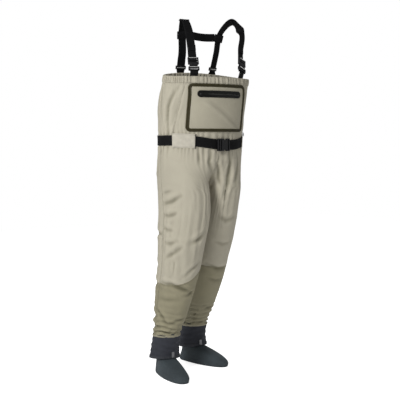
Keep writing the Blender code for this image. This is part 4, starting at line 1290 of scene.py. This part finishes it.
def capsule_ring(half, radius, inset, off, count=22):
    """Rounded bar outline on the zip's arc, pulled in by inset."""
    r, ring = max(radius - inset, 0.0002), []
    for end in (1, -1):
        for k in range(count):
            a = math.pi * k / (count - 1) - math.pi / 2
            ring.append(zip_spot(end * (half + r * math.cos(a)), ZIP_Z + end * r * math.sin(a), off))
        for k in range(1, 24):
            x = end * half * (1 - 2 * k / 24)
            ring.append(zip_spot(x, ZIP_Z + end * r, off))
    return ring


def build_zip():
    radius = 0.0150
    half = ZIP_R * ZIP_HALF - radius
    build = Build()
    steps = ((0.0, 0.0030), (0.0, 0.0062), (0.0006, 0.0074), (0.0020, 0.0078), (0.0034, 0.0070),
             (0.0060, 0.0068), (0.0095, 0.0070), (0.0110, 0.0076), (0.0122, 0.0074), (0.0128, 0.0062),
             (0.0146, 0.0060))
    rings = [capsule_ring(half, radius, inset, off) for inset, off in steps]
    loft(build, rings, 0, caps=True)
    piece(build, "zip_film", ["zip"], ["zipper_tape"], "waders_body")
    build = Build()
    pitch, reach = 0.0024, half + 0.004
    for i in range(int(2 * reach / pitch)):
        x = -reach + i * pitch
        for sign in (-1, 1):
            rings = []
            for t, r in TOOTH:
                z = ZIP_Z + sign * (0.0010 + t * 0.55)
                mid = x + sign * pitch / 4
                rings.append([zip_spot(mid + r * math.cos(a), z, 0.0076 + 0.9 * r * math.sin(a))
                              for a in np.linspace(0, 2 * math.pi, 7)[:-1]])
            loft(build, rings)
    loft(build, [[zip_spot(x, ZIP_Z + dz, off) for dz, off in COIL_TAPE] for x in np.linspace(-reach, reach, 40)])
    piece(build, "zip_coil", ["teeth"], ["zipper_teeth"], "waders_body")


# ---------------------------------------------------------------- straps

STRAP_W, WEB, STRAP_STEPS = 0.038, 0.0018, 190
TWIST_FROM, TWIST_RUN = 0.066, 0.032  # where the strap turns flat above its rear slider
REAR_X, FRONT_X = {-1: 0.078, 1: 0.087}, {-1: 0.1215, 1: 0.1325}
BUCKLE_Z = {-1: 1.368, 1: 1.375}
LOOPS = {
    -1: ((-0.0815, 0.0285, 1.385), (-0.0850, 0.0160, 1.425), (-0.0890, 0.0027, 1.465),
         (-0.104, -0.020, 1.545), (-0.1225, -0.066, 1.590), (-0.1175, -0.092, 1.545)),
    1: ((0.0890, 0.0260, 1.385), (0.0915, 0.0140, 1.425), (0.0940, 0.0027, 1.465),
        (0.100, -0.018, 1.548), (0.136, -0.062, 1.600), (0.170, -0.088, 1.545)),
}
BUCKLE_UP = {-1: Vector((0.12, 0.345, 0.93)), 1: Vector((0.26, 0.345, 0.90))}


def frame_at(place, up, across):
    """Local frame with z along the webbing, x across it and y through it."""
    z = Vector(up).normalized()
    x = (Vector(across) - z * z.dot(Vector(across))).normalized()
    turn = Matrix((x, z.cross(x), z)).transposed().to_4x4()
    return Matrix.Translation(Vector(place)) @ turn


def buckle_frame(side):
    """Frame of the front buckle; its base is the webbing bar of the lower half."""
    base = Vector((side * FRONT_X[side], -0.1405 + HIP_Y, BUCKLE_Z[side]))
    return frame_at(base, BUCKLE_UP[side].normalized(), (0.93, 0.36 * side, 0.0))


def smooth_path(knots, count):
    """Catmull-Rom curve through the knots."""
    pts = [Vector(k) for k in knots]
    pts = [2 * pts[0] - pts[1]] + pts + [2 * pts[-1] - pts[-2]]
    spans, path = len(pts) - 3, []
    for i in range(count):
        t = i / (count - 1) * spans
        k = min(int(t), spans - 1)
        u = t - k
        p0, p1, p2, p3 = pts[k:k + 4]
        path.append(0.5 * (2 * p1 + (p2 - p0) * u + (2 * p0 - 5 * p1 + 4 * p2 - p3) * u * u
                           + (3 * p1 - p0 - 3 * p2 + p3) * u ** 3))
    return path


def rear_phi(side):
    return math.pi - side * math.asin(REAR_X[side] / 0.216)


def tangent(phi, z):
    return Vector(base_torso(phi + 0.01, z, 0) - base_torso(phi - 0.01, z, 0)).normalized()


def strap_path(side, count):
    knots = [base_torso(rear_phi(side), 1.3445, 0.0054)]
    knots += [Vector(k) + Vector((0, HIP_Y, 0)) for k in LOOPS[side]]
    knots += [buckle_frame(side) @ Vector((0, 0.0080, z)) for z in (0.112, 0.075, 0.038)]
    return smooth_path(knots, count)


def strap_across(side, standing=False):
    """Direction across the strap, from the rear rim over the shoulder to the buckle.

    With standing, the left strap stands on edge over the shoulder, as in the photograph.
    """
    rear = -tangent(rear_phi(side), 1.35)
    front = buckle_frame(side).to_3x3() @ Vector((1, 0, 0))
    twisted = Vector((0.97, 0.24 * side, 0.0))
    if side > 0 and standing:
        top = Vector((0.45, 0.45, -0.60)).normalized()

        def edgewise(t):
            if t < 0.40:
                return Vector(rear.lerp(twisted, min(max((t - TWIST_FROM) / TWIST_RUN, 0), 1)))
            if t < 0.56:
                return twisted.lerp(top, smooth((t - 0.40) / 0.16))
            return top.lerp(-front, smooth((t - 0.56) / 0.16))

        return edgewise

    def across(t):
        if t < 0.45:
            turn = min(max((t - TWIST_FROM) / TWIST_RUN, 0), 1)
            return rear.lerp(twisted, turn).lerp(Vector((1, 0, 0)), max(t - 0.16, 0) / 0.29)
        return Vector((1, 0, 0)).lerp(front, (t - 0.45) / 0.55)

    return across


def strip_profile(width, thick, cup=0.0):
    """Webbing section: flat faces, thick rounded selvedges and a slight cup across."""
    half, r, ring = width / 2, thick / 2, []
    xs = np.linspace(half - r, -half + r, 9)
    for sign in (1, -1):
        for x in xs * sign:
            edge = 0.00018 * math.exp(-((abs(x) - half + 0.0026) / 0.0011) ** 2)
            ring.append((x, sign * (r + edge) + cup * (x / half) ** 2))
        for k in range(1, 4):
            a = math.pi * k / 4
            ring.append((-sign * (half - r + r * math.sin(a)), sign * r * math.cos(a) + cup))
    return ring


def strip(build, path, width, across, slot=0, thick=WEB, cup=0.0, wide=None):
    """Webbing along a path."""
    rings, last, uv_u = [], len(path) - 1, []
    along_total = 0.0
    for i, p in enumerate(path):
        p = Vector(p)
        along = (Vector(path[min(i + 1, last)]) - Vector(path[max(i - 1, 0)])).normalized()
        side = Vector(across(i / last) if callable(across) else across)
        side = (side - along * side.dot(along)).normalized()
        out = along.cross(side)
        w = width * (wide(i / last) if wide else 1.0)
        rings.append([np.array(p + side * x + out * y) for x, y in strip_profile(w, thick, cup)])
        if i:
            along_total += (p - Vector(path[i - 1])).length
        uv_u.append(along_total)
    loft(build, rings, slot, lengths=uv_u)


def strand_frame(side, z):
    path = strap_path(side, 121)
    near = min(range(2, 60), key=lambda i: abs(path[i].z - z))
    return frame_at(path[near], path[near + 1] - path[near - 1], strap_across(side)(near / 120))


def build_straps():
    for side, name in NAMES.items():
        build = Build()
        path = strap_path(side, STRAP_STEPS)
        peak = max(range(STRAP_STEPS), key=lambda i: path[i].z) / (STRAP_STEPS - 1)

        def wide(t):
            return 1.0 + (0.16 * math.exp(-((t - peak) / 0.022) ** 2) if side < 0 else 0.0)

        strip(build, path, STRAP_W, strap_across(side, True), wide=wide, cup=-0.0007)
        fold_over(build, side, path)
        piece(build, f"{name}_shoulder_webbing", ["webbing"], [f"{name}_shoulder_strap"],
              "suspenders")
        build_tabs(side, name)
    build_yoke()


def fold_over(build, side, path):
    """The loose end of the webbing, doubled back over the shoulder strap and hemmed."""
    start = max(range(STRAP_STEPS), key=lambda i: path[i].z)
    part = [path[i] for i in range(start - 4, start + 5)] if side < 0 else path[start - 3:start + 3]
    out = []
    for i, p in enumerate(part):
        ahead = (part[min(i + 1, len(part) - 1)] - part[max(i - 1, 0)]).normalized()
        up = ahead.cross(Vector((1, 0, 0)))
        out.append(p + up * (-0.0021 if up.z < 0 else 0.0021))
    strip(build, out, STRAP_W * (1.20 if side < 0 else 1.02), (1, 0, 0), thick=0.0020)
    frame_ = buckle_frame(side)
    tail = [frame_ @ Vector((0, 0.0080 - 0.0024, z)) for z in np.linspace(0.098, 0.125, 12)]
    strip(build, tail, STRAP_W * 0.98, frame_.to_3x3() @ Vector((1, 0, 0)))


def build_tabs(side, name):
    frame_ = buckle_frame(side)
    front = side * math.asin(FRONT_X[side] / 0.217)
    build = Build()
    low = [base_torso(front, z, -0.0054) for z in np.linspace(1.318, 1.3415, 6)]
    high = [frame_ @ Vector((0, 0, z)) for z in np.linspace(-0.009, 0.006, 4)]
    path = [Vector(p) for p in low] + high
    edge = tangent(front, 1.34)
    strip(build, smooth_path(path, 40), STRAP_W * 0.96, edge)
    piece(build, f"{name}_front_webbing_tab", ["webbing"], [f"{name}_front_strap_tab"],
          "waders_body")
    rear = rear_phi(side)
    build = Build()
    path = [Vector(base_torso(rear, z, 0.0040)) for z in np.linspace(1.290, 1.3430, 18)]
    strip(build, path, STRAP_W, tangent(rear, 1.33))
    piece(build, f"{name}_rear_webbing_tab", ["webbing"], [f"{name}_rear_strap_tab"],
          "waders_body")


def sleeve(build, frame_, width, height, deep):
    """Flat folded sleeve of webbing around a strand, open above and below."""
    rings = []
    top = height / 2
    for z, grow in ((-top, 0.0), (-top + 0.002, 0.0007), (0.0, 0.0010), (top - 0.002, 0.0007), (top, 0.0)):
        ring = []
        for k in range(28):
            a = 2 * math.pi * k / 28
            c, s = math.cos(a), math.sin(a)
            x = (width / 2 + grow) * math.copysign(abs(c) ** 0.35, c)
            y = (deep / 2 + grow) * math.copysign(abs(s) ** 0.6, s)
            ring.append(np.array(frame_ @ Vector((x, y, z))))
        rings.append(ring)
    middle = np.array(frame_.translation)
    inner = [[middle + (p - middle) * 0.93 for p in ring] for ring in rings[::-1]]
    loft(build, rings + inner, closed=True)


def build_yoke():
    ends = {side: strand_frame(side, 1.531) for side in (-1, 1)}
    for side, name in NAMES.items():
        build = Build()
        sleeve(build, ends[side], 0.047, 0.034, 0.0080)
        piece(build, f"{name}_yoke_webbing_sleeve", ["webbing"], [f"{name}_yoke_sleeve"],
              "suspenders")
    build = Build()
    a, b = (ends[s] @ Vector((-s * 0.0225, 0, 0)) for s in (-1, 1))
    path = [a.lerp(b, t / 40) - Vector((0, 0, 0.006)) * math.sin(math.pi * t / 40) for t in range(41)]
    strip(build, path, STRAP_W * 0.92, (0, 0, 1), cup=0.0005)
    piece(build, "cross_webbing", ["webbing"], ["cross_strap"], "suspenders")


# ---------------------------------------------------------------- moulded hardware

def box_points(low, high, frame_):
    corners = [(x, y, z) for z in (low[2], high[2]) for y in (low[1], high[1]) for x in (low[0], high[0])]
    faces = [(0, 2, 3, 1), (4, 5, 7, 6), (0, 1, 5, 4), (2, 6, 7, 3), (0, 4, 6, 2), (1, 3, 7, 5)]
    return [tuple(frame_ @ Vector(c)) for c in corners], faces


def moulded(node, name, material, voxel=0.0007, soften=5, extra=()):
    """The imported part's shape with rounded, moulded edges and raised details."""
    source = frame["nodes"][node]
    mesh = source.data.copy()
    mesh.materials.clear()
    obj = bpy.data.objects.new(name, mesh)
    bpy.context.scene.collection.objects.link(obj)
    work = bmesh.new()
    work.from_mesh(mesh)
    for points, faces in extra:
        verts = [work.verts.new(p) for p in points]
        for f in faces:
            work.faces.new([verts[i] for i in f])
    work.to_mesh(mesh)
    work.free()
    remesh = obj.modifiers.new("Remesh", "REMESH")
    remesh.mode, remesh.voxel_size = "VOXEL", voxel
    soft = obj.modifiers.new("Smooth", "SMOOTH")
    soft.factor, soft.iterations = 0.5, soften
    graph = bpy.context.evaluated_depsgraph_get()
    done = bpy.data.meshes.new_from_object(obj.evaluated_get(graph))
    obj.modifiers.clear()
    obj.data = done
    done.polygons.foreach_set("use_smooth", [True] * len(done.polygons))
    done.materials.append(MATERIALS[material])
    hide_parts(node)
    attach(obj, source["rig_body"])
    return obj


def rod(name, a, b, radius, body):
    """Round bar with domed ends between two points."""
    a, b = Vector(a), Vector(b)
    way = (b - a).normalized()
    side = way.orthogonal().normalized()
    up = way.cross(side)
    build, rings = Build(), []
    stops = [(0.0, 0.25), (0.12, 0.7), (0.35, 0.95), (1.0, 1.0)]
    spots = [(t * radius, r) for t, r in stops]
    length = (b - a).length
    spots += [(length - t * radius, r) for t, r in stops[::-1]]
    for t, r in spots:
        c = a + way * t
        rings.append([np.array(c + (side * math.cos(k) + up * math.sin(k)) * radius * r)
                      for k in np.linspace(0, 2 * math.pi, 15)[:-1]])
    loft(build, rings)
    return piece(build, name, ["bar"], [], body)


def bar(name, place, half, y, z, radius, body):
    """Rod across the webbing of a local frame."""
    rod(name, place @ Vector((-half, y, z)), place @ Vector((half, y, z)), radius, body)


def build_hardware():
    for side, name in NAMES.items():
        f = buckle_frame(side)
        ribs = [box_points((-0.012, -0.0066, z), (0.012, -0.0050, z + 0.0016), f)
                for z in (0.0225, 0.0262, 0.0299)]
        ribs.append(box_points((-0.0215, -0.0060, 0.0005), (0.0215, 0.0050, 0.0035), f))
        moulded(f"{name}_front_buckle_socket", f"{name}_buckle_socket_moulded", "plastic", extra=ribs)
        grips = [box_points((-0.014, -0.0054, 0.0372), (0.014, -0.0040, 0.0372 + 0.0014), f)]
        moulded(f"{name}_front_buckle_clip", f"{name}_buckle_clip_moulded", "plastic", extra=grips)
        moulded(f"{name}_rear_slider", f"{name}_rear_slider_moulded", "plastic")
        g = strand_frame(side, 1.392)
        # light bars on the sliders and buckles, whose light colour is a painted highlight
        for suffix, y in (("", 0.0052), ("_back", -0.0052)):
            bar(f"{name}_rear_slider{suffix}_bar", g, 0.0195, y, 0, 0.0021, f"{name}_rear_slider")
        bar(f"{name}_buckle_low_bar", f, 0.0185, -0.0052, 0.0145, 0.0019, "waders_body")
        bar(f"{name}_buckle_high_bar", f, 0.0175, -0.0046, 0.0580, 0.0015, f"{name}_strap_clip")
        moulded(f"{name}_guard_hook", f"{name}_guard_hook_wire", "metal", voxel=0.00045, soften=3)
    moulded("belt_buckle_socket", "belt_buckle_socket_moulded", "plastic", voxel=0.0008)
    moulded("belt_buckle_clip", "belt_buckle_clip_moulded", "plastic", voxel=0.0008)
    moulded("zip_slider", "zip_slider_moulded", "plastic", voxel=0.0003, soften=4)
    moulded("zip_pull", "zip_pull_moulded", "zip", voxel=0.0003, soften=4)
    moulded("accessory_ring", "accessory_ring_wire", "metal", voxel=0.00035, soften=4)


# ---------------------------------------------------------------- belt

KEEPERS = (("left", 54), ("back_left", 140), ("back_right", -140))
PATCH_EDGE = math.radians(-31.2)
EDGE_SECTION = ((-0.0035, 0.0040), (0.0035, 0.0040), (0.0035, 0.0072), (-0.0035, 0.0072))


def belt_band(name, ends, width, offs, count=160):
    """Webbing around the waist between two angles."""
    build, rings, lengths, total, before = Build(), [], [], 0.0, None
    for i in range(count):
        phi = ends[0] + (ends[1] - ends[0]) * i / (count - 1)
        sway = 0.0006 * math.sin(phi * 9) + belt_rise(phi)
        ring = []
        for x, y in strip_profile(width, offs[1] - offs[0]):
            off = (offs[0] + offs[1]) / 2 + y + 0.0002 * math.sin(phi * 31)
            ring.append(base_torso(phi, BELT_Z + x + sway, off))
        rings.append(ring)
        middle = np.mean(ring, 0)
        total += 0.0 if before is None else float(np.linalg.norm(middle - before))
        before = middle
        lengths.append(total)
    loft(build, rings, lengths=lengths)
    piece(build, name, ["belt"], ["belt_webbing"], "waders_body")


def loop_piece(name, node, phi, half, material):
    """Fabric keeper over the belt, sewn down above and below it."""
    build, rings, lengths = Build(), [], []
    low, top = BELT_Z - BELT_W / 2 - 0.009, BELT_Z + BELT_W / 2 + 0.009
    rise = ((0, 0.0006), (0.0035, 0.0016), (0.0055, 0.0034), (0.0085, 0.0046))
    path = [(low + up, off) for up, off in rise] + [(BELT_Z, 0.0049)] + [(top - up, off) for up, off in rise[::-1]]
    dense = [[float(np.interp(t, range(9), values)) for values in zip(*path)] for t in np.linspace(0, 8, 33)]
    cols = max(int(half * 2 / 0.018), 5)
    for i in range(cols + 1):
        p = phi - half + 2 * half * i / cols
        swell, sag = 0.0006 * math.sin(11 * p), belt_rise(p)
        edge = 0.0005 if i in (0, cols) else 0.0
        outer = [base_torso(p, z + sag, off + 0.0014 + swell - edge) for z, off in dense]
        inner = [base_torso(p, z + sag, off) for z, off in dense]
        rings.append(outer + inner[::-1])
        lengths.append(i * 0.003)
    loft(build, rings, lengths=lengths)
    piece(build, name, [material], [node], "waders_body")


def build_belt():
    belt_band("waist_belt_webbing", (math.radians(12), math.radians(359)), BELT_W, (0.0014, 0.0034))
    loop_piece("belt_patch_cloth", "belt_patch", math.radians(-48), math.radians(16.5), "patch")
    build = Build()
    loft(build, [[base_torso(PATCH_EDGE + turn, z + belt_rise(PATCH_EDGE), off) for turn, off in EDGE_SECTION]
                 for z in np.linspace(BELT_Z - 0.0325, BELT_Z + 0.0325, 12)])
    piece(build, "belt_patch_edge", ["belt"], [], "waders_body")
    for place, degrees in KEEPERS:
        loop_piece(f"{place}_belt_keeper", f"{place}_belt_loop", math.radians(degrees), math.radians(2.6), "loop")
    build = Build()
    phi = math.radians(66)
    start = BELT_Z + BELT_W / 2 + belt_rise(phi)
    path = [Vector(base_torso(phi, z, 0.0022)) for z in np.linspace(start + 0.0015, start + 0.0208, 10)]
    strip(build, path, 0.0150, tangent(phi, BELT_Z), thick=0.0014)
    piece(build, "ring_webbing_tab", ["webbing"], ["ring_tab"], "waders_body")


# ---------------------------------------------------------------- stage

FLOOR_GLOW, FLOOR_GLOW_SEEN, SKY, SKY_SEEN = 0.15, 0.62, 0.34, 1.0  # seen: for camera rays
LAMPS = (  # name, place, target, watts, size
    ("key_softbox", (-3.2, -1.7, 2.6), (0, 0, 0.85), 118, 1.1),
    ("fill_softbox", (2.0, -3.0, 1.6), (0, 0, 0.8), 7, 2.0),
    ("rear_softbox", (1.2, 3.0, 2.8), (0, 0, 1.0), 34, 1.8),
)


def build_stage():
    scene = bpy.context.scene
    scene.view_settings.view_transform = "Standard"
    bpy.ops.mesh.primitive_plane_add(size=14, location=(0, 0, 0))
    floor = bpy.context.object
    floor.name = "studio_floor"
    k = Look("floor_paper")
    k.put(k.shader.inputs["Emission Color"], (1, 1, 1, 1))
    seen = k.node("ShaderNodeLightPath").outputs["Is Camera Ray"]
    k.put(k.shader.inputs["Emission Strength"], k.plus(FLOOR_GLOW, k.times(seen, FLOOR_GLOW_SEEN)))
    tone = k.mix(k.ramp(k.noise(3.0, 2.0), 0.3, 0.7), (0.86, 0.86, 0.86), (0.88, 0.88, 0.88))
    floor.data.materials.append(k.end(tone, 0.9, k.bump(k.noise(400, 2.0), 0.05, 0.0005)))
    world = scene.world or bpy.data.worlds.new("World")
    scene.world = world
    world.use_nodes = True
    tree = world.node_tree
    back = tree.nodes["Background"]
    ray = tree.nodes.new("ShaderNodeLightPath")
    mixer = tree.nodes.new("ShaderNodeMix")
    mixer.inputs[2].default_value, mixer.inputs[3].default_value = SKY, SKY_SEEN
    tree.links.new(ray.outputs["Is Camera Ray"], mixer.inputs[0])
    tree.links.new(mixer.outputs[0], back.inputs["Strength"])
    back.inputs["Color"].default_value = (1.0, 1.0, 1.0, 1.0)
    for row in LAMPS:
        lamp(*row)
    camera()


def lamp(name, place, target, power, size):
    data = bpy.data.lights.new(name, "AREA")
    data.energy, data.size, data.shape = power, size, "DISK"
    obj = bpy.data.objects.new(name, data)
    bpy.context.scene.collection.objects.link(obj)
    obj.location = place
    obj.rotation_euler = (Vector(target) - Vector(place)).to_track_quat("-Z", "Y").to_euler()


AZIMUTH, DISTANCE, EYE_Z, LOOK_Z, LENS, SHIFT_X = math.radians(-34), 4.2, 1.05, 0.80, 83.6, 0.0018


def camera():
    data = bpy.data.cameras.new("photo_camera")
    data.lens, data.sensor_width = LENS, 36.0
    obj = bpy.data.objects.new("photo_camera", data)
    bpy.context.scene.collection.objects.link(obj)
    tilt = math.asin((EYE_Z - LOOK_Z) / DISTANCE)
    back = Vector((math.sin(AZIMUTH) * math.cos(tilt), -math.cos(AZIMUTH) * math.cos(tilt), math.sin(tilt)))
    target = Vector((0.0, HIP_Y, LOOK_Z))
    obj.location = target + back * DISTANCE
    obj.rotation_euler = (-back).to_track_quat("-Z", "Y").to_euler()
    data.shift_x = SHIFT_X
    bpy.context.scene.camera = obj


# ---------------------------------------------------------------- all together

def main():
    sheet = base_sheet()
    sheet = drape(sheet)
    sheet = shaped(sheet.refined())
    rows = {"hem": ROWS["hem"]}
    rows["waist"] = rows["hem"] + ROWS["bib"]
    rows["crotch"] = rows["waist"] + ROWS["hip"]
    rows["mid"] = rows["crotch"] + int(ROWS["thigh"] * 0.48)
    rows["knee"] = rows["crotch"] + ROWS["thigh"]
    mark = {k: v * 2 for k, v in rows.items()}
    mark.update({"front": COL_FRONT * 2, "side": COL_SIDE * 2, "back": COL_BACK * 2})
    build_bib(sheet, mark)
    build_hem(sheet)
    build_legs(sheet, mark)
    for side, name in NAMES.items():
        build_guard(side, name)
        build_foot(side, name)
    build_pocket()
    build_straps()
    build_belt()
    build_hardware()
    build_stage()


main()
